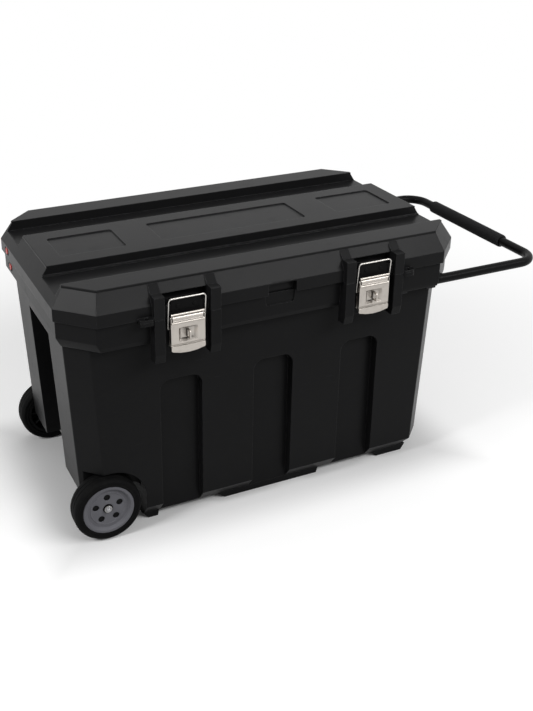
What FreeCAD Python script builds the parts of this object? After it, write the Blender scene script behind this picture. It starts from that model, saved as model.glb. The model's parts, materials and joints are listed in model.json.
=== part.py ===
import FreeCAD, Part
import math
import os

# Wheeled jobsite storage box: a moulded plastic tub on two wheels and three skids, a hinged lid with
# two draw latches at the front, and a U-shaped tow handle that slides out of the tub's rim.
# Millimetres. +X runs along the box to the tow handle, -Y is the latch side, +Z is up.
# The origin is on the floor under the middle of the box, on the underside of the middle skid.

V = FreeCAD.Vector

# ---- driving dimensions ------------------------------------------------------------------------------

# lid
LID_OVER_LENGTH = 18.0        # lid beyond the tub's walls
LID_OVER_DEPTH = 47.0
LID_CORNER = 68.0             # leg of the 45 degree corner cut
LID_BAND = 27.0               # height of the upright band round the lid
LID_BEVEL_HEIGHT = 37.5
LID_BEVEL_INSET = 24.3
LID_TOP_STEP = 4.5            # upright edge between the bevel and the top
LID_TOP_CORNER = 53.5
LID_WALL = 4.0
LID_EDGE_ROUND = 1.5
LID_BASE_Z = 523.0            # underside of the lid's band, the parting line
PARTING_GAP = 0.3             # between tub rim and lid when the lid is shut

# lid top: two saw grooves along the lid, and shallow panels on the middle band
GROOVE_NEAR_Y = 96.0
GROOVE_WIDTH = 100.0
GROOVE_DEPTH = 22.0
GROOVE_STEP = 3.0
TICK_END_GAP = 50.0           # last tick to the lid's end
TICK_PITCH = 20.0
TICK_LONG = 16.0
TICK_SHORT = 9.0
TICK_WIDTH = 1.6
TICK_HEIGHT = 1.0
PANEL_HALF_Y = 55.0
PANEL_DEPTH = 2.5
MIDDLE_PANEL_HALF_X = 176.0
SIDE_PANEL_IN_X = 258.0
SIDE_PANEL_END_GAP = 66.0     # side panel to the lid's end

# tub
WALL = 4.0
TUB_HALF_DEPTH_TOP = 233.0
TUB_LEAN_DEPTH = 2.0          # how much narrower the tub is at its foot, each side
TUB_HALF_LENGTH_TOP = 452.0
TUB_LEAN_LENGTH = 22.0
TUB_CORNER = 44.0
SKIRT_HEIGHT = 29.0           # sloping part under the walls
SKIRT_INSET = 23.0
SKID_HEIGHT = 15.0
WHEEL_SKID = (-4.0, 36.0, 11.0, 33.0)            # from the arch: two ends at its top, then at its foot
MIDDLE_SKID = (-119.5, 144.5, -99.0, 140.0)
HANDLE_SKID = (-114.0, -17.0, -97.5, -27.5)      # from the end of the tub's foot
BODY_ROUND = 6.0

# rim round the top of the tub
RIM_OVER_LEFT = 13.0          # rim beyond the tub's walls
RIM_OVER_RIGHT = 3.0
RIM_OVER_DEPTH = 36.0
RIM_HEIGHT = 59.5
RIM_WALL = 4.5
RIM_BEVEL = 2.5               # how far the skirt's long sides lean in at the foot
RIM_BEVEL_HEIGHT = 9.0
RIM_BEVEL_LEFT = 10.0         # and its two ends
RIM_BEVEL_RIGHT = 1.5
RIM_BEVEL_END_HEIGHT = 20.0

# recesses in the tub's walls
RECESS_DEPTH = 22.5
RECESS_WIDTH = 96.0
RECESS_PITCH = 218.0
RECESS_OFFSET_X = 7.0
RECESS_TOP = -171.0           # levels like this one are heights from the lid's underside
RECESS_ROUND = 24.0
END_RECESS_HALF_Y = 78.0
WHEEL_END_RECESS_DEPTH = 69.0
HANDLE_END_RECESS_DEPTH = 11.0
END_RECESS_TOP = -90.0

# wheels, axle and wheel arch
WHEEL_RADIUS = 75.0
WHEEL_END_GAP = 42.0          # axle to the foot of the tub's end wall
TYRE_WIDTH = 46.0
WHEEL_OUT = 16.0              # outer face of the tyre beyond the foot of the tub's wall
TYRE_THICK = 18.0
TYRE_SHOULDER = 7.0
AXLE_RADIUS = 5.0
HUB_DISH = 9.0                # how deep the hub's disc lies behind its lip
HUB_LIP = 5.0
HUB_DISC = 4.0
COVER = 2.0                   # sheet of the wheel's cover
COVER_SET = 2.0               # how far the cover lies behind the tyre's face
COVER_LIP = 7.0               # width of the cover's flat outer lip
HUB_BOSS_RADIUS = 11.0
HUB_BOSS_PROUD = 1.5
HUB_HOLE_TURN = 20.0
HUB_RIB_TURN = 5.6
HUB_HOLE_RADIUS = 6.2
HUB_HOLE_CIRCLE = 28.0
HUB_HOLES = 5
HUB_RIBS = 10
HUB_RIB = 3.0
ARCH_GAP = 16.0               # between wheel and arch, along the box
ARCH_TOP_GAP = 5.0
ARCH_ROUND = 78.0
ARCH_SIDE_GAP = 5.0           # between wheel and arch
TUNNEL_OVER_AXLE = 21.0       # raised floor above the axle
TUNNEL_ROUND = 20.0
BRACKET_HALF = 34.0
BRACKET_WALL = 12.0
WASHER = 2.0
WASHER_RADIUS = 8.5
PUSH_NUT_RADIUS = 7.0
PUSH_NUT_HEIGHT = 5.0

# tow handle
TUBE_RADIUS = 11.0
TUBE_WALL = 2.0
ARM_WALL_GAP = 8.0            # between arm and tub wall
ARM_LEVEL = -52.0
HANDLE_REACH = 242.0          # grip bar beyond the rim's end
BEND_RADIUS = 50.0
ARM_INSIDE = 179.0            # arm's inner end behind the rim's end
GRIP_RADIUS = 16.0
GRIP_NEAR_Y = -120.0
GRIP_FAR_Y = 165.0
GUIDE_LENGTH = 24.0
GUIDE_BELOW = 13.0
SCREW_RADIUS = 2.2
SCREW_HEAD_RADIUS = 4.5
SCREW_HEAD = 2.5
SCREW_LENGTH = 20.0
SCREW_LEVEL = -19.0
MOUTH_INSIDE = 3.0            # how far the arm's mouth runs behind the rim's corner
GUIDE_CORNER_GAP = 4.0        # outer guide to the rim's corner
STOP_LENGTH = 22.0
STOP_RADIUS = 12.0
MOUTH_CLEARANCE = 2.5         # round the arm where it leaves the rim

# draw latches
LATCH_X = 217.0
BAY_HALF_WIDTH = 49.5         # between the two guard ribs
BAY_OUT = 6.0                 # face that the latch stands on, in front of the rim
RIB_WIDTH = 22.0
RIB_OUT = 18.0                # guard ribs in front of that face
LID_RIB_SHOULDER = 48.0
LID_RIB_SHELF = 21.0          # flat top of each guard rib, behind its face
POCKET_FLOOR = 23.0           # pocket in the lid's front behind each bail
POCKET_TOP = 44.5
POCKET_DEPTH = 32.0
TUB_RIB_BOTTOM = -97.0
PAD_BOTTOM = -85.0
SHEET = 1.6                   # sheet steel of base, lever and keeper
PIVOT_LEVEL = -5.5
PIVOT_OUT = 10.0              # lever pivot in front of the bay's face
PIVOT_PIN_RADIUS = 2.0
PIN_END_GAP = 0.25            # between lever and pin head
PIN_HEAD = 0.5
EAR_RADIUS = 4.4
BASE_HALF_WIDTH = 34.8
BASE_BOTTOM = -70.0
BASE_TOP = -12.0
LEVER_SIDE_GAP = 0.4          # between the base's ears and the lever's flanges
LEVER_TOP_RISE = 1.0          # above the pivot
LEVER_BOTTOM = -82.0
LEVER_CROWN = 6.0
BRIDGE_RADIUS = 2.6           # bar of the base over the lever's top
BRIDGE_OUT = 3.8              # in front of the pivot
BRIDGE_RISE = 8.6             # above the pivot
BRIDGE_PAST_EAR = 1.2
LEVER_BACK_OUT = 4.7          # back of the plate in front of the pivot
LEVER_FLANGE = 5.0
LEVER_RIBS = ((4.9, 0.9, 0.2), (8.9, 2.2, 0.6))    # below the pivot, radius, how far sunk in the plate
EAR_SLOT = 0.4                # round the base's ears, in the lever's top edge
EAR_SLOT_DROP = 5.0           # below the pivot
DISH_HALF_X = 22.0
DISH_TOP = -24.0
DISH_BOTTOM = -59.0
DISH_DEPTH = 2.4
SLOT_HALF_X = 3.0
SLOT_TOP = -29.0
SLOT_BOTTOM = -53.0
DRAIN_HALF_X = 17.0           # narrow slot along the foot of the dish
DRAIN_BOTTOM = -57.2
DRAIN_TOP = -54.4
STAPLE_TOP = -31.0
STAPLE_BOTTOM = -50.0
STAPLE_REACH = 28.0
STAPLE_THICK = 3.0
STAPLE_BAR = 3.5
BAIL_DROP = 23.5              # bail pivot below the lever pivot
BAIL_PIVOT_OUT = 6.5          # in front of the bay's face
BAIL_TOP = 38.0
BAIL_TOP_OUT = 13.5
BAIL_SIDE_GAP = 1.1           # between the lever's flanges and the bail's legs
BAIL_BEND = 7.0
BAIL_END_SHORT = 0.1          # bail's end from the flange's inner face
WIRE_RADIUS = 2.0
KEEPER_HALF_WIDTH = 32.0
KEEPER_BOTTOM = 9.0
KEEPER_TOP = 35.0
KEEPER_LIP = 4.5
RIVET_X = 18.0
BASE_RIVET_LEVELS = (-63.0, -20.0)
KEEPER_RIVET_LEVEL = 18.0
RIVET_RADIUS = 2.4
RIVET_HEAD_RADIUS = 4.4
RIVET_HEAD = 1.4
RIVET_GRIP = 3.5              # how far a rivet goes into the plastic

# padlock eyes beside the latches
EYE_X = 303.0
EYE_WIDTH = 30.0
EYE_OUT = 26.0                # in front of the rim
EYE_THICK = 5.0
TUB_EYE_THICK = 8.0
EYE_ROUND = 8.0
EYE_HOLE_RADIUS = 4.5

# lift notch in the middle of the lid's front
NOTCH_HALF_X = 33.0
NOTCH_HEIGHT = 25.0
NOTCH_DEPTH = 18.0
SCOOP_HALF_X = 36.0
SCOOP_DEPTH = 3.0
SCOOP_HEIGHT = 27.0

# rear hinges
HINGE_STAND = 2.0             # between the lid's face and the barrel
HINGE_PITCH = 300.0
HINGE_PIN_RADIUS = 4.0
HINGE_BARREL_RADIUS = 9.0
HINGE_LENGTH = 110.0
HINGE_KNUCKLES = 5
HINGE_GAP = 0.6
HINGE_WEB = 15.0
HINGE_PIN_END = 3.0           # pin past the last knuckle
HINGE_PIN_HEAD = 2.5          # thickness of its head, and how far it stands out all round

# seal on the rim
SEAL_WIDTH = 5.0
SEAL_HEIGHT = 6.0
SEAL_OVER_LENGTH = 1.5        # seal beyond the tub's walls
SEAL_OVER_DEPTH = 7.0

# red side reflectors at the wheel end
REFLECTOR_LENGTH = 34.0
REFLECTOR_HEIGHT = 15.0
REFLECTOR_THICK = 2.5
REFLECTOR_Y = 158.0
REFLECTOR_SET = 1.5           # how deep the lens is let in
LID_REFLECTOR_LEVEL = 15.0
RIM_REFLECTOR_LEVEL = -24.0

# clearances
RUNNING = 0.05                # radial, round pins, axle, arms
REST = 0.3                    # between bodies that lie close together
PAST = 40.0                   # how far a cutter runs past what it cuts

# ---- places worked out from them ---------------------------------------------------------------------

TUB_HALF_DEPTH_LOW = TUB_HALF_DEPTH_TOP - TUB_LEAN_DEPTH
TUB_HALF_LENGTH_LOW = TUB_HALF_LENGTH_TOP - TUB_LEAN_LENGTH
LID_HALF_LENGTH = TUB_HALF_LENGTH_TOP + LID_OVER_LENGTH
LID_HALF_DEPTH = TUB_HALF_DEPTH_TOP + LID_OVER_DEPTH
GROOVE_FAR_Y = GROOVE_NEAR_Y + GROOVE_WIDTH
RIM_LEFT = TUB_HALF_LENGTH_TOP + RIM_OVER_LEFT
RIM_RIGHT = TUB_HALF_LENGTH_TOP + RIM_OVER_RIGHT
RIM_HALF_DEPTH = TUB_HALF_DEPTH_TOP + RIM_OVER_DEPTH
RIM_CORNER_X = LID_HALF_LENGTH - LID_CORNER      # where the rim's and the lid's front faces end
LID_BAND_Z = LID_BASE_Z + LID_BAND
LID_SHOULDER_Z = LID_BAND_Z + LID_BEVEL_HEIGHT
LID_TOP_Z = LID_SHOULDER_Z + LID_TOP_STEP
GROOVE_Z = LID_TOP_Z - GROOVE_DEPTH
RIM_TOP_Z = LID_BASE_Z - PARTING_GAP
RIM_LOW_Z = RIM_TOP_Z - RIM_HEIGHT
RIM_INNER_Y = RIM_HALF_DEPTH - RIM_WALL
WALL_LOW_Z = SKID_HEIGHT + SKIRT_HEIGHT
FOOT_END_X = TUB_HALF_LENGTH_LOW - SKIRT_INSET
SKID_HALF_DEPTH = TUB_HALF_DEPTH_LOW - SKIRT_INSET
WHEEL_X = WHEEL_END_GAP - TUB_HALF_LENGTH_LOW
WHEEL_FACE_Y = TUB_HALF_DEPTH_LOW + WHEEL_OUT
WHEEL_INNER_Y = WHEEL_FACE_Y - TYRE_WIDTH
TYRE_BORE_RADIUS = WHEEL_RADIUS - TYRE_THICK
ARCH_X = WHEEL_X + WHEEL_RADIUS + ARCH_GAP
ARCH_TOP_Z = 2 * WHEEL_RADIUS + ARCH_TOP_GAP
TUNNEL_TOP_Z = WHEEL_RADIUS + TUNNEL_OVER_AXLE
ARM_Y = TUB_HALF_DEPTH_TOP + ARM_WALL_GAP + TUBE_RADIUS
ARM_Z = LID_BASE_Z + ARM_LEVEL
ARM_END_X = RIM_RIGHT - ARM_INSIDE
GRIP_BAR_X = RIM_RIGHT + HANDLE_REACH
SCREW_Z = LID_BASE_Z + SCREW_LEVEL
BAY_Y = RIM_HALF_DEPTH + BAY_OUT
RIB_Y = BAY_Y + RIB_OUT
POCKET_Y = LID_HALF_DEPTH - POCKET_DEPTH
EYE_Y = RIM_HALF_DEPTH + EYE_OUT
HINGE_Y = LID_HALF_DEPTH + HINGE_STAND + HINGE_BARREL_RADIUS
LEVER_HALF_WIDTH = BASE_HALF_WIDTH + LEVER_SIDE_GAP + SHEET
LEVER_BOTTOM_Z = LID_BASE_Z + LEVER_BOTTOM
BAIL_LEG_X = LEVER_HALF_WIDTH + BAIL_SIDE_GAP + WIRE_RADIUS
BAIL_END = BAIL_LEG_X - LEVER_HALF_WIDTH + SHEET - BAIL_END_SHORT
BAIL_TOP_Z = LID_BASE_Z + BAIL_TOP
KEEPER_TOP_Z = LID_BASE_Z + KEEPER_TOP
KEEPER_RIVET_Z = LID_BASE_Z + KEEPER_RIVET_LEVEL
PIVOT_Y = BAY_Y + PIVOT_OUT
PIVOT_Z = LID_BASE_Z + PIVOT_LEVEL
BAIL_PIVOT_Z = PIVOT_Z - BAIL_DROP
BAIL_PIVOT_Y = BAY_Y + BAIL_PIVOT_OUT
BAIL_TOP_Y = BAY_Y + BAIL_TOP_OUT
BASE_FRONT_Y = BAY_Y + SHEET
LEVER_BACK_Y = PIVOT_Y + LEVER_BACK_OUT
LEVER_FRONT_Y = LEVER_BACK_Y + SHEET
LATCHES = (("left", -LATCH_X), ("right", LATCH_X))


# ---- shape helpers -----------------------------------------------------------------------------------

def box(x0, x1, y0, y1, z0, z1):
    return Part.makeBox(x1 - x0, y1 - y0, z1 - z0, V(x0, y0, z0))


def rod(radius, start, end):
    along = end - start
    return Part.makeCylinder(radius, along.Length, start, along)


def loft_prism(low, high):
    """Solid with flat faces between two polygons that have the same number of corners."""
    faces = [Part.Face(Part.makePolygon(low + low[:1])), Part.Face(Part.makePolygon(high + high[:1]))]
    for i in range(len(low)):
        j = (i + 1) % len(low)
        faces.append(Part.Face(Part.makePolygon([low[i], low[j], high[j], high[i], low[i]])))
    shape = Part.makeSolid(Part.makeShell(faces))
    if shape.Volume < 0:
        shape.reverse()
    return shape


def octagon(left, right, half_depth, corner_left, corner_right, z):
    """Rectangle from -left to +right with its four corners cut at 45 degrees."""
    return [
        V(-left + corner_left, -half_depth, z), V(right - corner_right, -half_depth, z),
        V(right, -half_depth + corner_right, z), V(right, half_depth - corner_right, z),
        V(right - corner_right, half_depth, z), V(-left + corner_left, half_depth, z),
        V(-left, half_depth - corner_left, z), V(-left, -half_depth + corner_left, z),
    ]


def rounded_face(points, radii):
    """Flat face whose corners are rounded, each by its own radius (0 keeps a corner sharp)."""
    edges = []
    count = len(points)
    starts = []
    ends = []
    for i in range(count):
        here = points[i]
        back = (points[i - 1] - here).normalize()
        ahead = (points[(i + 1) % count] - here).normalize()
        if radii[i] == 0:
            starts.append(here)
            ends.append(here)
            continue
        half = back.getAngle(ahead) / 2
        reach = radii[i] / math.tan(half)
        first = here + back * reach
        last = here + ahead * reach
        centre = here + (back + ahead).normalize() * (radii[i] / math.sin(half))
        middle = centre + (here - centre).normalize() * radii[i]
        edges.append(Part.Arc(first, middle, last).toShape())
        starts.append(first)
        ends.append(last)
    for i in range(count):
        j = (i + 1) % count
        if (ends[i] - starts[j]).Length > 1e-6:
            edges.append(Part.LineSegment(ends[i], starts[j]).toShape())
    return Part.Face(Part.Wire(Part.__sortEdges__(edges)))


def slab_y(points_xz, radii, y0, y1):
    """Outline in the XZ plane, pushed from y0 to y1."""
    face = rounded_face([V(x, y0, z) for x, z in points_xz], radii)
    return face.extrude(V(0, y1 - y0, 0))


def slab_x(points_yz, radii, x0, x1):
    """Outline in the YZ plane, pushed from x0 to x1."""
    face = rounded_face([V(x0, y, z) for y, z in points_yz], radii)
    return face.extrude(V(x1 - x0, 0, 0))


def slab_z(points_xy, radii, z0, z1):
    """Outline in the XY plane, pushed from z0 to z1."""
    face = rounded_face([V(x, y, z0) for x, y in points_xy], radii)
    return face.extrude(V(0, 0, z1 - z0))


def mirror_y(shape):
    return shape.mirror(V(0, 0, 0), V(0, 1, 0))


def mirror_x(shape):
    return shape.mirror(V(0, 0, 0), V(1, 0, 0))


def both_sides(shape):
    return [shape, mirror_y(shape)]


def single(shape):
    """The one solid that a boolean result holds."""
    return shape.Solids[0] if len(shape.Solids) == 1 else shape


def round_edges(shape, radius, wanted):
    """Fillet the straight edges for which wanted(middle point, direction) is true."""
    chosen = []
    for edge in shape.Edges:
        if len(edge.Vertexes) != 2:
            continue
        a, b = edge.Vertexes[0].Point, edge.Vertexes[1].Point
        if wanted((a + b) * 0.5, (b - a).normalize()):
            chosen.append(edge)
    return shape.makeFillet(radius, chosen)


def export(shape, name):
    solids = shape.Solids
    print(name, "solids", len(solids), "valid", shape.isValid(), "volume", round(shape.Volume))
    shape.exportStep("parts/" + name + ".step")


# ---- the tub -----------------------------------------------------------------------------------------

def tub_block(inset):
    """Outside of the tub's walls and sloping skirt, all faces moved in by inset."""
    cut = inset * (2 - math.sqrt(2))
    corner = TUB_CORNER - cut
    low_x = TUB_HALF_LENGTH_LOW - inset
    low_y = TUB_HALF_DEPTH_LOW - inset
    top_x = TUB_HALF_LENGTH_TOP - inset
    top_y = TUB_HALF_DEPTH_TOP - inset
    foot_z = SKID_HEIGHT + inset
    foot_x = low_x - SKIRT_INSET
    foot_y = low_y - SKIRT_INSET
    foot = octagon(foot_x, foot_x, foot_y, corner, corner, foot_z)
    middle = octagon(low_x, low_x, low_y, corner, corner, WALL_LOW_Z)
    top = octagon(top_x, top_x, top_y, corner, corner, RIM_TOP_Z)
    return loft_prism(foot, middle).fuse(loft_prism(middle, top)).removeSplitter()


def side_recess(centre_x, grow):
    """One tall recess in the latch side, arched at its top; grow thickens it all round."""
    half = RECESS_WIDTH / 2 + grow
    top = LID_BASE_Z + RECESS_TOP + grow
    left, right = centre_x - half, centre_x + half
    outline = [(left, -PAST), (right, -PAST), (right, top), (left, top)]
    inner_y = (TUB_HALF_DEPTH_LOW + TUB_HALF_DEPTH_TOP) / 2 - RECESS_DEPTH - grow
    return slab_y(outline, [0, 0, RECESS_ROUND, RECESS_ROUND], -inner_y, -TUB_HALF_DEPTH_TOP - PAST)


def end_recess(depth, grow):
    """Tall recess in the wheel end, leaning with the wall."""
    half = END_RECESS_HALF_Y + grow
    slope = TUB_LEAN_LENGTH / (RIM_TOP_Z - WALL_LOW_Z)
    top = LID_BASE_Z + END_RECESS_TOP + grow
    low = TUB_HALF_LENGTH_LOW - depth - grow - slope * (WALL_LOW_Z + PAST)
    high = TUB_HALF_LENGTH_LOW - depth - grow + slope * (top - WALL_LOW_Z)
    outer = TUB_HALF_LENGTH_TOP + PAST
    foot = [V(-outer, -half, -PAST), V(-low, -half, -PAST), V(-low, half, -PAST), V(-outer, half, -PAST)]
    head = [V(-outer, -half, top), V(-high, -half, top), V(-high, half, top), V(-outer, half, top)]
    return loft_prism(foot, head)


def wheel_arch(grow):
    """Space for one front wheel, with its big rounded corner."""
    right = ARCH_X + grow
    top = ARCH_TOP_Z + grow
    left = -RIM_LEFT - PAST
    outline = [(left, -PAST), (right, -PAST), (right, top), (left, top)]
    inner_y = WHEEL_INNER_Y - ARCH_SIDE_GAP - grow
    return slab_y(outline, [0, 0, ARCH_ROUND, 0], -inner_y, -TUB_HALF_DEPTH_TOP - PAST)


def axle_tunnel(grow):
    """Space under the raised floor at the wheel end, open below."""
    left, right = -RIM_LEFT - PAST, ARCH_X + grow
    top = TUNNEL_TOP_Z + grow
    outline = [(left, -PAST), (right, -PAST), (right, top), (left, top)]
    return slab_y(outline, [0, 0, TUNNEL_ROUND, 0], -TUB_HALF_DEPTH_TOP - PAST, TUB_HALF_DEPTH_TOP + PAST)


def recesses(grow):
    shapes = []
    for step in (-1, 0, 1):
        shapes += both_sides(side_recess(RECESS_OFFSET_X + step * RECESS_PITCH, grow))
    shapes.append(end_recess(WHEEL_END_RECESS_DEPTH, grow))
    shapes.append(mirror_x(end_recess(HANDLE_END_RECESS_DEPTH, grow)))
    shapes += both_sides(wheel_arch(grow))
    shapes.append(axle_tunnel(grow))
    return shapes


def skids():
    """Three runners under the floor, across the box."""
    shapes = []
    for start, ends in ((ARCH_X, WHEEL_SKID), (0, MIDDLE_SKID), (FOOT_END_X, HANDLE_SKID)):
        left, right, foot_left, foot_right = ends
        outline = [(start + left, SKID_HEIGHT + 1), (start + foot_left, 0),
                   (start + foot_right, 0), (start + right, SKID_HEIGHT + 1)]
        shapes.append(slab_y(outline, [0, 0, 0, 0], -SKID_HALF_DEPTH, SKID_HALF_DEPTH))
    return shapes


def rim_octagon(inset, z, left=0.0, right=0.0, side=0.0):
    """Plan of the rim at one level; left, right and side say how far each face leans in there."""
    cut = inset * (2 - math.sqrt(2))
    corner_left = RIM_LEFT - RIM_CORNER_X - cut
    corner_right = RIM_RIGHT - RIM_CORNER_X - cut
    return octagon(RIM_LEFT - inset - left, RIM_RIGHT - inset - right, RIM_HALF_DEPTH - inset - side,
                   corner_left, corner_right, z)


def rim_block(inset, lean, top_z):
    """Upright band whose foot leans in; its ends lean over a taller strip than its long sides."""
    left_over = 1 - RIM_BEVEL_HEIGHT / RIM_BEVEL_END_HEIGHT
    plans = [rim_octagon(inset, RIM_LOW_Z - 5, RIM_BEVEL_LEFT, RIM_BEVEL_RIGHT, lean),
             rim_octagon(inset, RIM_LOW_Z, RIM_BEVEL_LEFT, RIM_BEVEL_RIGHT, lean),
             rim_octagon(inset, RIM_LOW_Z + RIM_BEVEL_HEIGHT,
                         RIM_BEVEL_LEFT * left_over, RIM_BEVEL_RIGHT * left_over),
             rim_octagon(inset, RIM_LOW_Z + RIM_BEVEL_END_HEIGHT),
             rim_octagon(inset, top_z)]
    bands = [loft_prism(plans[i], plans[i + 1]) for i in range(len(plans) - 1)]
    return bands[0].fuse(bands[1:])


def rim():
    """Deep turned-down rim: a flange on top and an outer skirt with a bevelled foot."""
    below = box(-RIM_LEFT - PAST, RIM_LEFT + PAST, -RIM_HALF_DEPTH - PAST, RIM_HALF_DEPTH + PAST,
                RIM_LOW_Z - PAST, RIM_LOW_Z)
    skirt = rim_block(0, RIM_BEVEL, RIM_TOP_Z).cut(below)
    return skirt.cut(rim_block(RIM_WALL, 0, RIM_TOP_Z - WALL)).removeSplitter()


def arm_mouth(side):
    """Notch in the rim's corner where an arm of the tow handle comes out."""
    radius = TUBE_RADIUS + MOUTH_CLEARANCE
    y = side * ARM_Y
    start, end = RIM_CORNER_X - MOUTH_INSIDE, RIM_RIGHT + PAST
    hole = rod(radius, V(start, y, ARM_Z), V(end, y, ARM_Z))
    slot = box(start, end, y - radius, y + radius, RIM_LOW_Z - 5, ARM_Z)
    return hole.fuse(slot)


def latch_bay(x):
    """Two guard ribs with the flat pad for a latch between them."""
    left, right = x - BAY_HALF_WIDTH, x + BAY_HALF_WIDTH
    pad = box(left - 1, right + 1, -BAY_Y, -RIM_INNER_Y, LID_BASE_Z + PAD_BOTTOM, RIM_TOP_Z)
    shapes = [pad]
    foot_z = LID_BASE_Z + TUB_RIB_BOTTOM
    outline = [(-RIM_INNER_Y, foot_z), (-RIB_Y + 5, foot_z), (-RIB_Y, foot_z + 20),
               (-RIB_Y, RIM_TOP_Z), (-RIM_INNER_Y, RIM_TOP_Z)]
    for start in (left - RIB_WIDTH, right):
        shapes.append(slab_x(outline, [0, 0, 6, 0, 0], start, start + RIB_WIDTH))
    return shapes


def padlock_eye(x, z0, z1, root_y):
    """Tab with an upright hole; lid and tub have one each, in line."""
    outline = [(x - EYE_WIDTH / 2, -root_y), (x + EYE_WIDTH / 2, -root_y),
               (x + EYE_WIDTH / 2, -EYE_Y), (x - EYE_WIDTH / 2, -EYE_Y)]
    return slab_z(outline, [0, 0, EYE_ROUND, EYE_ROUND], z0, z1)


def padlock_hole(x):
    y = EYE_ROUND - EYE_Y
    return rod(EYE_HOLE_RADIUS, V(x, y, RIM_TOP_Z - PAST), V(x, y, LID_BASE_Z + PAST))


def knuckle_starts(first):
    """Left ends of every second knuckle of each hinge; the tub has first=0, the lid first=1."""
    length = (HINGE_LENGTH - (HINGE_KNUCKLES - 1) * HINGE_GAP) / HINGE_KNUCKLES
    starts = []
    for x in (-HINGE_PITCH, 0.0, HINGE_PITCH):
        for i in range(first, HINGE_KNUCKLES, 2):
            starts.append((x - HINGE_LENGTH / 2 + i * (length + HINGE_GAP), length))
    return starts


def tub_knuckles():
    shapes = []
    for x, length in knuckle_starts(0):
        barrel = rod(HINGE_BARREL_RADIUS, V(x, HINGE_Y, LID_BASE_Z), V(x + length, HINGE_Y, LID_BASE_Z))
        web = slab_x([(RIM_HALF_DEPTH - 2, RIM_TOP_Z), (RIM_HALF_DEPTH - 2, RIM_TOP_Z - HINGE_WEB - 12),
                      (HINGE_Y + HINGE_BARREL_RADIUS - 3, RIM_TOP_Z - HINGE_BARREL_RADIUS + 3),
                      (HINGE_Y + HINGE_BARREL_RADIUS - 3, RIM_TOP_Z)], [0, 0, 0, 0], x, x + length)
        shapes += [barrel, web]
    return shapes


def hinge_bore(radius):
    """One long cutter through all three hinges."""
    half = TUB_HALF_LENGTH_TOP
    return rod(radius, V(-half, HINGE_Y, LID_BASE_Z), V(half, HINGE_Y, LID_BASE_Z))


def axle_brackets():
    """Hangers under the raised floor that carry the axle just inside the wheels."""
    face = WHEEL_INNER_Y - ARCH_SIDE_GAP
    outline = [(WHEEL_X - BRACKET_HALF, TUNNEL_TOP_Z + 1), (WHEEL_X - 16, WHEEL_RADIUS - 16),
               (WHEEL_X + 16, WHEEL_RADIUS - 16), (WHEEL_X + BRACKET_HALF, TUNNEL_TOP_Z + 1)]
    hanger = slab_y(outline, [0, 12, 12, 0], -face, -face + BRACKET_WALL)
    return both_sides(hanger)


def rivet_places(x):
    return [(x + side * RIVET_X, LID_BASE_Z + level) for side in (-1, 1) for level in BASE_RIVET_LEVELS]


def tub_shell():
    outside = round_edges(tub_block(0), BODY_ROUND, lambda middle, way: abs(way.z) > 0.9)
    outside = outside.cut(recesses(0)).fuse(skids())
    hollow = tub_block(WALL).cut(recesses(WALL))
    hollow = max(hollow.Solids, key=lambda solid: solid.Volume)
    extras = [rim()] + tub_knuckles() + axle_brackets()
    for _, x in LATCHES:
        extras += latch_bay(x)
    for x in (-EYE_X, EYE_X):
        extras.append(padlock_eye(x, RIM_TOP_Z - TUB_EYE_THICK, RIM_TOP_Z, RIM_INNER_Y))
    shell = outside.fuse(extras)
    length, depth, corner = TUB_HALF_LENGTH_TOP - WALL, TUB_HALF_DEPTH_TOP - WALL, TUB_CORNER - 3
    mouth = loft_prism(octagon(length, length, depth, corner, corner, RIM_TOP_Z - WALL - 1),
                       octagon(length, length, depth, corner, corner, RIM_TOP_Z + 1))
    cuts = [hollow, mouth, hinge_bore(HINGE_PIN_RADIUS), arm_mouth(-1), arm_mouth(1)]
    cuts.append(axle_rod(AXLE_RADIUS, -WHEEL_FACE_Y, WHEEL_FACE_Y))
    high, low, foot = RIM_TOP_Z + 5, RIM_TOP_Z - SCOOP_HEIGHT, SCOOP_HALF_X - 4
    scoop = [(-SCOOP_HALF_X, high), (SCOOP_HALF_X, high), (foot, low), (-foot, low)]
    cuts.append(slab_y(scoop, [0, 0, 5, 5], -RIM_HALF_DEPTH - 10, -RIM_HALF_DEPTH + SCOOP_DEPTH))
    for x in (-EYE_X, EYE_X):
        cuts.append(padlock_hole(x))
    for _, x in LATCHES:
        for rx, rz in rivet_places(x):
            cuts.append(rod(RIVET_RADIUS, V(rx, -BAY_Y - 1, rz), V(rx, -BAY_Y + RIVET_GRIP, rz)))
    cuts += guide_screw_bores()
    cuts.append(reflector_pocket(-RIM_LEFT, RIM_REFLECTOR_LEVEL))
    shell = shell.cut(cuts)
    return single(shell.removeSplitter())


# ---- the lid -----------------------------------------------------------------------------------------

def lid_block(inset, base_z):
    cut = inset * (2 - math.sqrt(2))
    low = octagon(LID_HALF_LENGTH - inset, LID_HALF_LENGTH - inset, LID_HALF_DEPTH - inset,
                  LID_CORNER - cut, LID_CORNER - cut, base_z)
    band = [V(p.x, p.y, LID_BAND_Z) for p in low]
    top_x = LID_HALF_LENGTH - LID_BEVEL_INSET - inset
    top_y = LID_HALF_DEPTH - LID_BEVEL_INSET - inset
    top_corner = LID_TOP_CORNER - cut
    shoulder = octagon(top_x, top_x, top_y, top_corner, top_corner, LID_SHOULDER_Z)
    top = [V(p.x, p.y, LID_TOP_Z - inset) for p in shoulder]
    bands = [loft_prism(band, shoulder), loft_prism(shoulder, top)]
    return loft_prism(low, band).fuse(bands).removeSplitter()


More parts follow.
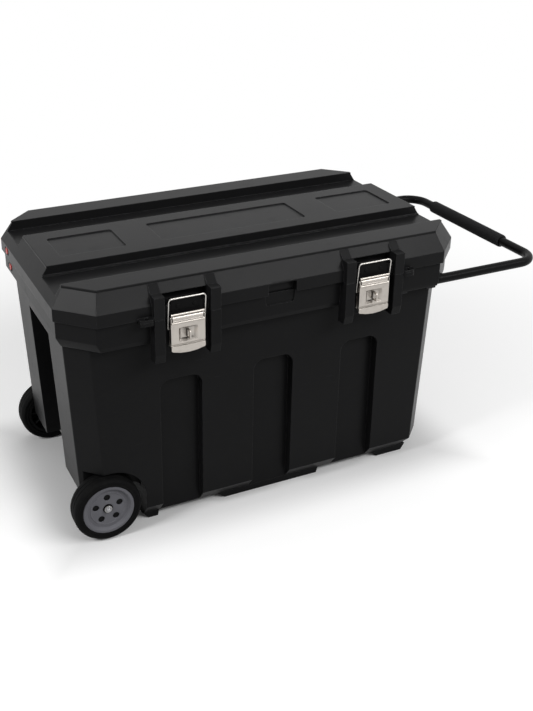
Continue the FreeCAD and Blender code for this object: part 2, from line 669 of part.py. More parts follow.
def grooves(grow):
    """Two saw grooves along the whole lid, each with a small step at its inner wall."""
    length = LID_HALF_LENGTH + PAST
    deep = box(-length, length, GROOVE_NEAR_Y - grow, GROOVE_FAR_Y + grow, GROOVE_Z - grow, LID_TOP_Z + PAST)
    if grow == 0:
        step = box(-length, length, GROOVE_NEAR_Y, GROOVE_NEAR_Y + GROOVE_STEP,
                   GROOVE_Z, GROOVE_Z + GROOVE_STEP)
        deep = deep.cut(step)
    return both_sides(deep)


def lid_panels():
    shapes = []
    floor = LID_TOP_Z - PANEL_DEPTH
    side_out = LID_HALF_LENGTH - SIDE_PANEL_END_GAP
    for left, right in ((-side_out, -SIDE_PANEL_IN_X), (-MIDDLE_PANEL_HALF_X, MIDDLE_PANEL_HALF_X),
                        (SIDE_PANEL_IN_X, side_out)):
        outline = [(left, -PANEL_HALF_Y), (right, -PANEL_HALF_Y), (right, PANEL_HALF_Y), (left, PANEL_HALF_Y)]
        shapes.append(slab_z(outline, [8, 8, 8, 8], floor, LID_TOP_Z + 5))
    return shapes


def lid_guard(x):
    """Lid's part of the two guard ribs beside a latch."""
    inner_y = LID_HALF_DEPTH - 3
    top_y = LID_HALF_DEPTH - LID_BEVEL_INSET + 0.8
    shelf_z = LID_BASE_Z + LID_RIB_SHOULDER
    rib = [(-top_y, LID_SHOULDER_Z), (-RIB_Y + LID_RIB_SHELF, shelf_z), (-RIB_Y, shelf_z), (-RIB_Y, LID_BASE_Z),
           (-inner_y, LID_BASE_Z), (-inner_y, LID_BAND_Z + 1), (-top_y, LID_SHOULDER_Z - 4)]
    starts = (x - BAY_HALF_WIDTH - RIB_WIDTH, x + BAY_HALF_WIDTH)
    return [slab_x(rib, [0, 0, 2, 0, 0, 0, 0], start, start + RIB_WIDTH) for start in starts]


def latch_pockets(grow):
    """Pocket in the lid's front behind each bail, under what is left of the bevel; grow thickens it all round."""
    half = BAY_HALF_WIDTH + grow
    low, high = LID_BASE_Z + POCKET_FLOOR - grow, LID_BASE_Z + POCKET_TOP + grow
    return [box(x - half, x + half, -LID_HALF_DEPTH - PAST, -POCKET_Y + grow, low, high) for _, x in LATCHES]


def lid_knuckles():
    shapes = []
    for x, length in knuckle_starts(1):
        barrel = rod(HINGE_BARREL_RADIUS, V(x, HINGE_Y, LID_BASE_Z), V(x + length, HINGE_Y, LID_BASE_Z))
        top = LID_BASE_Z + HINGE_WEB
        web = slab_x([(LID_HALF_DEPTH - 2, LID_BASE_Z), (HINGE_Y, LID_BASE_Z),
                      (HINGE_Y + 3, LID_BASE_Z + HINGE_BARREL_RADIUS - 1), (LID_HALF_DEPTH - 2, top + 5)],
                     [0, 0, 0, 0], x, x + length)
        shapes += [barrel, web]
    return shapes


def groove_ticks():
    """Raised measuring marks across the foot of each groove's outer wall."""
    shapes = []
    half = LID_HALF_LENGTH - TICK_END_GAP
    for i in range(int(2 * half / TICK_PITCH) + 1):
        x = i * TICK_PITCH - half
        length = TICK_LONG if i % 4 == 0 else TICK_SHORT
        tick = box(x - TICK_WIDTH / 2, x + TICK_WIDTH / 2, GROOVE_FAR_Y - length, GROOVE_FAR_Y + 1,
                   GROOVE_Z - 1, GROOVE_Z + TICK_HEIGHT)
        shapes += both_sides(tick)
    return shapes


def lid_shell():
    outside = lid_block(0, LID_BASE_Z)
    outside = round_edges(outside, LID_EDGE_ROUND, lambda middle, way: middle.z > LID_TOP_Z - 1)
    outside = outside.cut(grooves(0)).cut(latch_pockets(0))
    hollow = lid_block(LID_WALL, LID_BASE_Z - 5).cut(grooves(LID_WALL)).cut(latch_pockets(LID_WALL))
    extras = lid_knuckles() + groove_ticks()
    for _, x in LATCHES:
        extras += lid_guard(x)
    for x in (-EYE_X, EYE_X):
        extras.append(padlock_eye(x, LID_BASE_Z, LID_BASE_Z + EYE_THICK, LID_HALF_DEPTH - 3))
    half, high = NOTCH_HALF_X + LID_WALL, LID_BASE_Z + NOTCH_HEIGHT + LID_WALL
    notch_out = [(-half, LID_BASE_Z), (half, LID_BASE_Z), (half, high), (-half, high)]
    notch_in_y = NOTCH_DEPTH + LID_WALL - LID_HALF_DEPTH
    extras.append(slab_y(notch_out, [0, 0, 8, 8], 1 - LID_HALF_DEPTH, notch_in_y))
    shell = outside.cut([hollow]).fuse(extras)
    notch = [(-NOTCH_HALF_X, LID_BASE_Z - 5), (NOTCH_HALF_X, LID_BASE_Z - 5),
             (NOTCH_HALF_X, LID_BASE_Z + NOTCH_HEIGHT), (-NOTCH_HALF_X, LID_BASE_Z + NOTCH_HEIGHT)]
    cuts = [slab_y(notch, [0, 0, 5, 5], -LID_HALF_DEPTH - 5, -LID_HALF_DEPTH + NOTCH_DEPTH)]
    cuts += lid_panels()
    cuts.append(hinge_bore(HINGE_PIN_RADIUS + RUNNING))
    for x in (-EYE_X, EYE_X):
        cuts.append(padlock_hole(x))
    for _, x in LATCHES:
        for side in (-1, 1):
            rx = x + side * RIVET_X
            cuts.append(rod(RIVET_RADIUS, V(rx, -LID_HALF_DEPTH - 1, KEEPER_RIVET_Z),
                            V(rx, -LID_HALF_DEPTH + RIVET_GRIP, KEEPER_RIVET_Z)))
    cuts.append(reflector_pocket(-LID_HALF_LENGTH, LID_REFLECTOR_LEVEL))
    return single(shell.cut(cuts).removeSplitter())


def seal():
    """Rubber strip standing on the rim, inside the lid."""
    corner = TUB_CORNER + 4
    inner = SEAL_WIDTH * (2 - math.sqrt(2))
    low, high = RIM_TOP_Z, RIM_TOP_Z + SEAL_HEIGHT
    length, depth = TUB_HALF_LENGTH_TOP + SEAL_OVER_LENGTH, TUB_HALF_DEPTH_TOP + SEAL_OVER_DEPTH
    outside = loft_prism(octagon(length, length, depth, corner, corner, low),
                         octagon(length, length, depth, corner, corner, high))
    length, depth = length - SEAL_WIDTH, depth - SEAL_WIDTH
    inside = loft_prism(octagon(length, length, depth, corner - inner, corner - inner, low - 1),
                        octagon(length, length, depth, corner - inner, corner - inner, high + 1))
    return outside.cut(inside)


# ---- reflectors --------------------------------------------------------------------------------------

def oval(face_x, level, start, end):
    """Lens outline on the wheel end, from depth start to depth end inside the face."""
    half = REFLECTOR_LENGTH / 2
    high = REFLECTOR_HEIGHT / 2
    y, z = REFLECTOR_Y, LID_BASE_Z + level
    outline = [(y - half, z - high), (y + half, z - high), (y + half, z + high), (y - half, z + high)]
    radius = high - 0.01
    return slab_x(outline, [radius] * 4, face_x + start, face_x + end)


def reflector_pocket(face_x, level):
    return oval(face_x, level, -PAST, REFLECTOR_SET)


def reflector(face_x, level):
    return oval(face_x, level, REFLECTOR_SET - REFLECTOR_THICK, REFLECTOR_SET)


# ---- hinge pins, axle and wheels ---------------------------------------------------------------------

def hinge_pins():
    """Three steel pins, each with a flat head at one end."""
    shapes = []
    for x in (-HINGE_PITCH, 0.0, HINGE_PITCH):
        left = V(x - HINGE_LENGTH / 2, HINGE_Y, LID_BASE_Z)
        pin = rod(HINGE_PIN_RADIUS, left, left + V(HINGE_LENGTH + HINGE_PIN_END, 0, 0))
        head = rod(HINGE_PIN_RADIUS + HINGE_PIN_HEAD, left - V(HINGE_PIN_HEAD, 0, 0), left)
        shapes.append(pin.fuse(head))
    return Part.makeCompound(shapes)


def axle_rod(radius, start, end):
    """Round bar on the axle's line."""
    return rod(radius, V(WHEEL_X, start, WHEEL_RADIUS), V(WHEEL_X, end, WHEEL_RADIUS))


def axle():
    half = WHEEL_FACE_Y - HUB_DISH + HUB_BOSS_PROUD + WASHER + PUSH_NUT_HEIGHT - 2
    return axle_rod(AXLE_RADIUS, -half, half)


def axle_ring(outer, inner, start, end):
    return axle_rod(outer, start, end).cut(axle_rod(inner, start - 1, end + 1))


def turned(points_ry):
    """Solid of revolution about the axle from (radius, y) points."""
    corners = [V(WHEEL_X + r, y, WHEEL_RADIUS) for r, y in points_ry]
    face = Part.Face(Part.makePolygon(corners + corners[:1]))
    return face.revolve(V(WHEEL_X, 0, WHEEL_RADIUS), V(0, 1, 0), 360)


def tyre():
    """Front tyre: flat tread with sloping shoulders, and a rounded bead at the hub."""
    out, back = -WHEEL_FACE_Y, -WHEEL_INNER_Y
    shoulder = TYRE_SHOULDER
    return turned([(TYRE_BORE_RADIUS, out + 3), (TYRE_BORE_RADIUS + 2, out + 0.5),
                   (WHEEL_RADIUS - shoulder, out), (WHEEL_RADIUS - 2, out + shoulder * 0.55),
                   (WHEEL_RADIUS, out + shoulder * 1.5), (WHEEL_RADIUS, back - shoulder * 1.5),
                   (WHEEL_RADIUS - 2, back - shoulder * 0.55), (WHEEL_RADIUS - shoulder, back),
                   (TYRE_BORE_RADIUS + 2, back - 0.5), (TYRE_BORE_RADIUS, back - 3)])


def hub_holes(start, end):
    """The five round holes through disc and cover."""
    holes = []
    for i in range(HUB_HOLES):
        angle = math.radians(HUB_HOLE_TURN + i * 360 / HUB_HOLES)
        x = WHEEL_X + HUB_HOLE_CIRCLE * math.cos(angle)
        z = WHEEL_RADIUS + HUB_HOLE_CIRCLE * math.sin(angle)
        holes.append(rod(HUB_HOLE_RADIUS, V(x, start, z), V(x, end, z)))
    return holes


def hub_cover():
    """Dished cover on the wheel's outside, with a flat lip and five round holes."""
    lip_out = -WHEEL_FACE_Y + COVER_SET
    disc_out = -WHEEL_FACE_Y + HUB_DISH
    outer, inner = TYRE_BORE_RADIUS, TYRE_BORE_RADIUS - COVER_LIP
    foot = inner - (disc_out - lip_out) * 0.45
    hole = HUB_BOSS_RADIUS
    bead = HUB_HOLE_CIRCLE + 11
    body = turned([(outer, lip_out + COVER), (outer, lip_out + 0.8), (outer - 0.8, lip_out),
                   (inner + 0.8, lip_out), (inner, lip_out + 0.6), (foot, disc_out),
                   (bead + 1.0, disc_out), (bead + 0.4, disc_out - 0.8), (bead - 0.6, disc_out - 0.8),
                   (bead - 1.2, disc_out), (hole, disc_out), (hole, disc_out + COVER),
                   (foot + 0.5, disc_out + COVER), (inner + 1.5, lip_out + COVER)])
    return body.cut(hub_holes(disc_out - 5, disc_out + 5)).removeSplitter()


def hub():
    """Moulded core: barrel under the tyre, disc with five holes, boss on the axle, and ribs behind."""
    out, back = -WHEEL_FACE_Y + COVER_SET + COVER, -WHEEL_INNER_Y - 2.5
    disc_out = -WHEEL_FACE_Y + HUB_DISH + COVER
    disc_back = disc_out + HUB_DISC
    inner = TYRE_BORE_RADIUS - HUB_LIP
    barrel = axle_ring(TYRE_BORE_RADIUS, inner, out, back)
    disc = axle_ring(inner + 1, AXLE_RADIUS + RUNNING, disc_out, disc_back)
    boss_out = -WHEEL_FACE_Y + HUB_DISH - HUB_BOSS_PROUD
    boss = axle_ring(HUB_BOSS_RADIUS, AXLE_RADIUS + RUNNING, boss_out, -WHEEL_INNER_Y + 1)
    shapes = [disc, boss]
    for i in range(HUB_RIBS):
        rib = box(WHEEL_X + HUB_BOSS_RADIUS - 2, WHEEL_X + inner + 1, disc_back - 1, back - 2,
                  WHEEL_RADIUS - HUB_RIB / 2, WHEEL_RADIUS + HUB_RIB / 2)
        rib.rotate(V(WHEEL_X, 0, WHEEL_RADIUS), V(0, 1, 0), HUB_RIB_TURN + i * 360 / HUB_RIBS)
        shapes.append(rib)
    body = barrel.fuse(shapes)
    return body.cut(hub_holes(disc_out - 5, back + 1)).removeSplitter()


def axle_washers():
    """Inside and outside each wheel."""
    shapes = []
    inner = WHEEL_INNER_Y - 1 - REST
    outer = WHEEL_FACE_Y - HUB_DISH + HUB_BOSS_PROUD + REST
    for start, end in ((-inner, -inner + WASHER), (-outer - WASHER, -outer)):
        shapes += both_sides(axle_ring(WASHER_RADIUS, AXLE_RADIUS, start, end))
    return Part.makeCompound(shapes)


def push_nuts():
    """Domed caps pressed on the axle's two ends."""
    start = WHEEL_FACE_Y - HUB_DISH + HUB_BOSS_PROUD + REST + WASHER
    end = start + PUSH_NUT_HEIGHT
    dome = round_edges_at(axle_rod(PUSH_NUT_RADIUS, -start, -end), 2.2, -end)
    return Part.makeCompound(both_sides(dome.cut(axle_rod(AXLE_RADIUS, 0, 2 - end))))


def round_edges_at(shape, radius, y):
    edges = [edge for edge in shape.Edges if abs(edge.CenterOfMass.y - y) < 0.01 and edge.Closed]
    return shape.makeFillet(radius, edges)


# ---- tow handle --------------------------------------------------------------------------------------

def handle_path():
    """Centre line of the U, shown pulled right out."""
    bend = BEND_RADIUS
    corner = bend - bend / math.sqrt(2)
    straight_x = GRIP_BAR_X - bend
    bar_y = ARM_Y - bend
    edges = [Part.LineSegment(V(ARM_END_X, -ARM_Y, ARM_Z), V(straight_x, -ARM_Y, ARM_Z)).toShape(),
             Part.Arc(V(straight_x, -ARM_Y, ARM_Z), V(GRIP_BAR_X - corner, -ARM_Y + corner, ARM_Z),
                      V(GRIP_BAR_X, -bar_y, ARM_Z)).toShape(),
             Part.LineSegment(V(GRIP_BAR_X, -bar_y, ARM_Z), V(GRIP_BAR_X, bar_y, ARM_Z)).toShape(),
             Part.Arc(V(GRIP_BAR_X, bar_y, ARM_Z), V(GRIP_BAR_X - corner, ARM_Y - corner, ARM_Z),
                      V(straight_x, ARM_Y, ARM_Z)).toShape(),
             Part.LineSegment(V(straight_x, ARM_Y, ARM_Z), V(ARM_END_X, ARM_Y, ARM_Z)).toShape()]
    return Part.Wire(edges)


def handle_tube():
    start = V(ARM_END_X, -ARM_Y, ARM_Z)
    solids = []
    for radius in (TUBE_RADIUS, TUBE_RADIUS - TUBE_WALL):
        circle = Part.Wire([Part.makeCircle(radius, start, V(1, 0, 0))])
        solids.append(handle_path().makePipeShell([circle], True, False))
    return solids[0].cut(solids[1])


def handle_grip():
    start, end = V(GRIP_BAR_X, GRIP_NEAR_Y, ARM_Z), V(GRIP_BAR_X, GRIP_FAR_Y, ARM_Z)
    body = rod(GRIP_RADIUS, start, end)
    edges = [edge for edge in body.Edges if edge.Closed and len(edge.Vertexes) == 1]
    body = body.makeFillet(2.5, edges)
    return body.cut(rod(TUBE_RADIUS, start, end))


def arm_stops():
    """Collars pressed on the inner ends of the arms, so the handle can't be pulled out."""
    shapes = []
    for side in (-1, 1):
        start = V(ARM_END_X, side * ARM_Y, ARM_Z)
        end = start + V(STOP_LENGTH, 0, 0)
        bore = rod(TUBE_RADIUS, start - V(1, 0, 0), end + V(1, 0, 0))
        shapes.append(rod(STOP_RADIUS, start, end).cut(bore))
    return Part.makeCompound(shapes)


def guide_places():
    inner_x = ARM_END_X + STOP_LENGTH + REST + GUIDE_LENGTH / 2
    outer_x = RIM_CORNER_X - GUIDE_CORNER_GAP - GUIDE_LENGTH / 2
    return [(x, side) for x in (inner_x, outer_x) for side in (-1, 1)]


def guide_screw_places():
    """Head side, just inside the tub's wall, and the way the screw points."""
    inner_y = TUB_HALF_DEPTH_TOP - WALL - 1
    return [(x, side * inner_y, SCREW_Z, side) for x, side in guide_places()]


def guide_screw_bores():
    bores = []
    for x, y, z, way in guide_screw_places():
        bores.append(rod(SCREW_RADIUS, V(x, y, z), V(x, y + way * SCREW_LENGTH, z)))
    return bores


def handle_guides():
    """Four blocks under the rim that the arms slide through."""
    shapes = []
    for x, side in guide_places():
        left = x - GUIDE_LENGTH / 2
        block = box(left, left + GUIDE_LENGTH, TUB_HALF_DEPTH_TOP, RIM_INNER_Y,
                    ARM_Z - GUIDE_BELOW, RIM_TOP_Z - WALL)
        if side < 0:
            block = mirror_y(block)
        y = side * ARM_Y
        bore = rod(TUBE_RADIUS + RUNNING, V(left - 1, y, ARM_Z), V(left + GUIDE_LENGTH + 1, y, ARM_Z))
        shapes.append(block.cut(bore))
    return Part.makeCompound([shape.cut(guide_screw_bores()) for shape in shapes])


def guide_screws():
    """Pan-head screws through the tub's leaning wall into the guides."""
    shapes = []
    lean = TUB_LEAN_DEPTH / (RIM_TOP_Z - WALL_LOW_Z)
    seat_y = TUB_HALF_DEPTH_TOP - WALL - lean * (RIM_TOP_Z - SCREW_Z + SCREW_HEAD_RADIUS)
    for x, y, z, way in guide_screw_places():
        y_face = way * seat_y
        shank = rod(SCREW_RADIUS, V(x, y_face, z), V(x, y + way * SCREW_LENGTH, z))
        head = rod(SCREW_HEAD_RADIUS, V(x, y_face - way * SCREW_HEAD, z), V(x, y_face, z))
        slot = box(x - SCREW_HEAD_RADIUS, x + SCREW_HEAD_RADIUS, y_face - way * SCREW_HEAD - 0.5,
                   y_face - way * SCREW_HEAD + 0.5, z - 0.6, z + 0.6)
        shapes.append(shank.fuse(head).cut(slot))
    return Part.makeCompound(shapes)


# ---- draw latches ------------------------------------------------------------------------------------

def cross_bore(x, radius, y, z):
    """Cutter that runs across one latch."""
    half = LEVER_HALF_WIDTH + PAST
    return rod(radius, V(x - half, -y, z), V(x + half, -y, z))


def latch_base(x):
    """Sheet steel plate, two ears for the lever's pivot, and a bar that bridges the ears above it."""
    top_z = LID_BASE_Z + BASE_TOP
    plate = box(x - BASE_HALF_WIDTH, x + BASE_HALF_WIDTH, -BASE_FRONT_Y, -BAY_Y,
                LID_BASE_Z + BASE_BOTTOM, top_z)
    bar_x = BASE_HALF_WIDTH + BRIDGE_PAST_EAR
    bar_y = PIVOT_Y + BRIDGE_OUT
    bar_z = PIVOT_Z + BRIDGE_RISE
    parts = [rod(BRIDGE_RADIUS, V(x - bar_x, -bar_y, bar_z), V(x + bar_x, -bar_y, bar_z))]
    for side in (-1, 1):
        ear_x = x + side * (BASE_HALF_WIDTH - SHEET / 2)
        a, b = ear_x - SHEET / 2, ear_x + SHEET / 2
        tab = slab_x([(-BAY_Y, top_z), (-BAY_Y, top_z - 16), (-PIVOT_Y - 1, PIVOT_Z - EAR_RADIUS),
                      (-PIVOT_Y - EAR_RADIUS, PIVOT_Z), (-bar_y - 1, bar_z), (-bar_y + 2, bar_z),
                      (-PIVOT_Y + EAR_RADIUS, PIVOT_Z)], [0] * 7, a, b)
        parts += [tab, rod(EAR_RADIUS, V(a, -PIVOT_Y, PIVOT_Z), V(b, -PIVOT_Y, PIVOT_Z))]
    body = plate.fuse(parts)
    cuts = [cross_bore(x, PIVOT_PIN_RADIUS, PIVOT_Y, PIVOT_Z)]
    for rx, rz in rivet_places(x):
        cuts.append(rod(RIVET_RADIUS, V(rx, -BAY_Y - 10, rz), V(rx, -BAY_Y + 10, rz)))
    cuts.append(staple(x))
    return single(body.cut(cuts).removeSplitter())


def staple(x):
    """Padlock loop standing out through the lever's slot."""
    a, b = x - STAPLE_THICK / 2, x + STAPLE_THICK / 2
    tip, low, high = BAY_Y + STAPLE_REACH, LID_BASE_Z + STAPLE_BOTTOM, LID_BASE_Z + STAPLE_TOP
    outline = [(-BAY_Y, low), (-tip, low), (-tip, high), (-BAY_Y, high)]
    body = slab_x(outline, [0, 4, 4, 0], a, b)
    root, tip, low, high = LEVER_FRONT_Y - 1, tip - STAPLE_BAR, low + STAPLE_BAR, high - STAPLE_BAR
    eye = [(-root, low), (-tip, low), (-tip, high), (-root, high)]
    return body.cut(slab_x(eye, [1, 2, 2, 1], a - 1, b + 1))


def lever_outline(x):
    """Front view: a plain rectangle with a crowned lower edge."""
    wide = LEVER_HALF_WIDTH
    top = PIVOT_Z + LEVER_TOP_RISE
    low = LEVER_BOTTOM_Z + LEVER_CROWN
    return [(x - wide, top), (x - wide, low), (x - wide * 0.5, LEVER_BOTTOM_Z + 1.5), (x, LEVER_BOTTOM_Z),
            (x + wide * 0.5, LEVER_BOTTOM_Z + 1.5), (x + wide, low), (x + wide, top)]


def lever_flange(x, side):
    """Side of the lever, folded back round the pivot pin and the bail's end."""
    mid = x + side * (LEVER_HALF_WIDTH - SHEET / 2)
    a, b = mid - SHEET / 2, mid + SHEET / 2
    front, foot = -LEVER_BACK_Y - 0.5, LEVER_BOTTOM_Z + LEVER_CROWN
    back = front + LEVER_FLANGE
    web = slab_x([(front, PIVOT_Z + LEVER_TOP_RISE), (-PIVOT_Y, PIVOT_Z + EAR_RADIUS - 0.4),
                  (-PIVOT_Y + EAR_RADIUS - 0.2, PIVOT_Z), (-BAIL_PIVOT_Y + EAR_RADIUS - 0.2, BAIL_PIVOT_Z),
                  (-BAIL_PIVOT_Y, BAIL_PIVOT_Z - EAR_RADIUS), (back, BAIL_PIVOT_Z - EAR_RADIUS - 6),
                  (back, foot + 8), (front, foot + 2)], [0] * 8, a, b)
    return [web, rod(EAR_RADIUS, V(a, -PIVOT_Y, PIVOT_Z), V(b, -PIVOT_Y, PIVOT_Z)),
            rod(EAR_RADIUS, V(a, -BAIL_PIVOT_Y, BAIL_PIVOT_Z), V(b, -BAIL_PIVOT_Y, BAIL_PIVOT_Z))]


def lever_curl(x):
    """Top of the lever's plate, rolled back over the pivot pin between the base's ears."""
    half = BASE_HALF_WIDTH - SHEET - EAR_SLOT
    start, end = V(x - half, -PIVOT_Y, PIVOT_Z), V(x + half, -PIVOT_Y, PIVOT_Z)
    ring = rod(LEVER_BACK_OUT + SHEET, start, end).cut(rod(LEVER_BACK_OUT, start, end))
    return ring.common(box(x - half, x + half, -PIVOT_Y - 20, -PIVOT_Y, PIVOT_Z - 1, PIVOT_Z + 20))


def latch_lever(x):
    """Pressed steel lever with a dished square, a slot for the staple, ribs and side flanges."""
    plate = slab_y(lever_outline(x), [1, 4, 12, 12, 12, 4, 1], -LEVER_FRONT_Y, -LEVER_BACK_Y)
    left, right, low, high = x - DISH_HALF_X, x + DISH_HALF_X, LID_BASE_Z + DISH_BOTTOM, LID_BASE_Z + DISH_TOP
    square = [(left, low), (right, low), (right, high), (left, high)]
    pan = slab_y(square, [3, 3, 3, 3], -LEVER_FRONT_Y, -LEVER_BACK_Y + DISH_DEPTH)
    left, right, low, high = left + SHEET, right - SHEET, low + SHEET, high - SHEET
    inner = [(left, low), (right, low), (right, high), (left, high)]
    hollow = slab_y(inner, [1.5, 1.5, 1.5, 1.5], -LEVER_FRONT_Y - 5, -LEVER_FRONT_Y + DISH_DEPTH)
    parts = [pan] + lever_flange(x, -1) + lever_flange(x, 1)
    wide = LEVER_HALF_WIDTH
    for drop, radius, sunk in LEVER_RIBS:
        y, z = -LEVER_FRONT_Y + sunk, PIVOT_Z - drop
        rib = rod(radius, V(x - wide + 1, y, z), V(x + wide - 1, y, z))
        front = box(x - wide, x + wide, -LEVER_FRONT_Y - 5, -LEVER_BACK_Y - 0.5, z - 5, z + 5)
        parts.append(rib.common(front))
    parts.append(lever_curl(x))
    body = plate.fuse(parts)
    cuts = [hollow]
    for half, low, high in ((SLOT_HALF_X, SLOT_BOTTOM, SLOT_TOP), (DRAIN_HALF_X, DRAIN_BOTTOM, DRAIN_TOP)):
        cuts.append(box(x - half, x + half, -LEVER_FRONT_Y - 5, -LEVER_BACK_Y + 6,
                        LID_BASE_Z + low, LID_BASE_Z + high))
    for side in (-1, 1):
        ear_x = x + side * (BASE_HALF_WIDTH - SHEET / 2)
        reach = SHEET / 2 + EAR_SLOT
        cuts.append(box(ear_x - reach, ear_x + reach, -LEVER_FRONT_Y - 5, -LEVER_BACK_Y + 1,
                        PIVOT_Z - EAR_SLOT_DROP, PIVOT_Z + 20))
    cuts.append(cross_bore(x, PIVOT_PIN_RADIUS + RUNNING, PIVOT_Y, PIVOT_Z))
    cuts.append(cross_bore(x, WIRE_RADIUS + RUNNING, BAIL_PIVOT_Y, BAIL_PIVOT_Z))
    return single(body.cut(cuts).removeSplitter())


def latch_bail(x):
    """Bent wire loop: two turned-in ends in the lever's flanges, two legs, and the bar at the keeper."""
    bend = BAIL_BEND
    foot_y, head_y = -BAIL_PIVOT_Y, -BAIL_TOP_Y
    pieces = []
    left, right = x - BAIL_LEG_X, x + BAIL_LEG_X
    start = V(left + BAIL_END, foot_y, BAIL_PIVOT_Z)
    corners = [start, V(left, foot_y, BAIL_PIVOT_Z), V(left, head_y, BAIL_TOP_Z),
               V(right, head_y, BAIL_TOP_Z), V(right, foot_y, BAIL_PIVOT_Z),
               V(right - BAIL_END, foot_y, BAIL_PIVOT_Z)]
    before = start
    for i in range(1, 5):
        radius = bend if i in (2, 3) else WIRE_RADIUS + 0.4
        here = corners[i]
        back = (corners[i - 1] - here).normalize()
        ahead = (corners[i + 1] - here).normalize()
        first, last = here + back * radius, here + ahead * radius
        middle = here + (back + ahead) * (radius * (1 - 1 / math.sqrt(2)))
        if (first - before).Length > 1e-6:
            pieces.append(Part.LineSegment(before, first).toShape())
        pieces.append(Part.Arc(first, middle, last).toShape())
        before = last
    pieces.append(Part.LineSegment(before, corners[5]).toShape())
    path = Part.Wire(pieces)
    circle = Part.Wire([Part.makeCircle(WIRE_RADIUS, start, V(-1, 0, 0))])
    return path.makePipeShell([circle], True, False)


def pivot_pins():
    """One headed pin through each latch's ears and flanges."""
    shapes = []
    for _, x in LATCHES:
        half = LEVER_HALF_WIDTH + PIN_END_GAP
        pin = rod(PIVOT_PIN_RADIUS, V(x - half, -PIVOT_Y, PIVOT_Z), V(x + half, -PIVOT_Y, PIVOT_Z))
        heads = [rod(PIVOT_PIN_RADIUS + 1, V(x + side * half, -PIVOT_Y, PIVOT_Z),
                     V(x + side * (half + PIN_HEAD), -PIVOT_Y, PIVOT_Z)) for side in (-1, 1)]
        shapes.append(pin.fuse(heads))
    return Part.makeCompound(shapes)


def keeper(x):
    """Angle of sheet steel on the lid; its lip is what the bail draws down on."""
    y = LID_HALF_DEPTH
    low = LID_BASE_Z + KEEPER_BOTTOM
    outline = [(-y, low), (-y - SHEET, low), (-y - SHEET, KEEPER_TOP_Z - SHEET),
               (-y - KEEPER_LIP, KEEPER_TOP_Z - SHEET), (-y - KEEPER_LIP, KEEPER_TOP_Z), (-y, KEEPER_TOP_Z)]
    body = slab_x(outline, [0] * 6, x - KEEPER_HALF_WIDTH, x + KEEPER_HALF_WIDTH)
    holes = []
    for rx in (x - RIVET_X, x + RIVET_X):
        holes.append(rod(RIVET_RADIUS, V(rx, -y - 5, KEEPER_RIVET_Z), V(rx, -y + 1, KEEPER_RIVET_Z)))
    return body.cut(holes)


def rivet(x, seat_y, z, root_y):
    """Domed head on the sheet at seat_y, shank into the plastic as far as root_y."""
    shank = rod(RIVET_RADIUS, V(x, -seat_y, z), V(x, -root_y, z))
    head = rod(RIVET_HEAD_RADIUS, V(x, -seat_y - RIVET_HEAD, z), V(x, -seat_y, z))
    head = round_edges_at(head, 1.0, -seat_y - RIVET_HEAD)
    return shank.fuse(head)


def base_rivets():
    shapes = []
    for _, x in LATCHES:
        for rx, rz in rivet_places(x):
            shapes.append(rivet(rx, BASE_FRONT_Y, rz, BAY_Y - RIVET_GRIP))
    return Part.makeCompound(shapes)


def keeper_rivets():
    shapes = []
    for _, x in LATCHES:
        for side in (-1, 1):
            shapes.append(rivet(x + side * RIVET_X, LID_HALF_DEPTH + SHEET, KEEPER_RIVET_Z,
                                LID_HALF_DEPTH - RIVET_GRIP))
    return Part.makeCompound(shapes)


# ---- export ------------------------------------------------------------------------------------------

os.makedirs("parts", exist_ok=True)

export(tub_shell(), "tub_shell")
export(lid_shell(), "lid_shell")
export(seal(), "lid_seal")
export(reflector(-RIM_LEFT, RIM_REFLECTOR_LEVEL), "rim_reflector")
export(reflector(-LID_HALF_LENGTH, LID_REFLECTOR_LEVEL), "lid_reflector")
export(hinge_pins(), "hinge_pins")
export(axle(), "axle")
export(axle_washers(), "axle_washers")
export(push_nuts(), "push_nuts")
export(tyre(), "tyre_front")
export(mirror_y(tyre()), "tyre_back")
export(hub_cover(), "hub_cover_front")
export(mirror_y(hub_cover()), "hub_cover_back")
export(hub(), "hub_front")
export(mirror_y(hub()), "hub_back")
export(handle_tube(), "handle_tube")
export(handle_grip(), "handle_grip")
export(arm_stops(), "arm_stops")
export(handle_guides(), "handle_guides")
export(guide_screws(), "guide_screws")
for side, x in LATCHES:
    export(latch_base(x), "latch_base_" + side)
    export(staple(x), "padlock_staple_" + side)
    export(latch_lever(x), "latch_lever_" + side)
    export(latch_bail(x), "latch_bail_" + side)
    export(keeper(x), "keeper_" + side)
export(pivot_pins(), "pivot_pins")
export(base_rivets(), "base_rivets")
export(keeper_rivets(), "keeper_rivets")
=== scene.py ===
# %% [markdown]
# # A wheeled jobsite storage box
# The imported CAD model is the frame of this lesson: every piece already has its size and place, and moves with
# its body. Pieces that are seen closely are modelled again, the others are merged copies of the CAD, and
# every piece gets a finish.

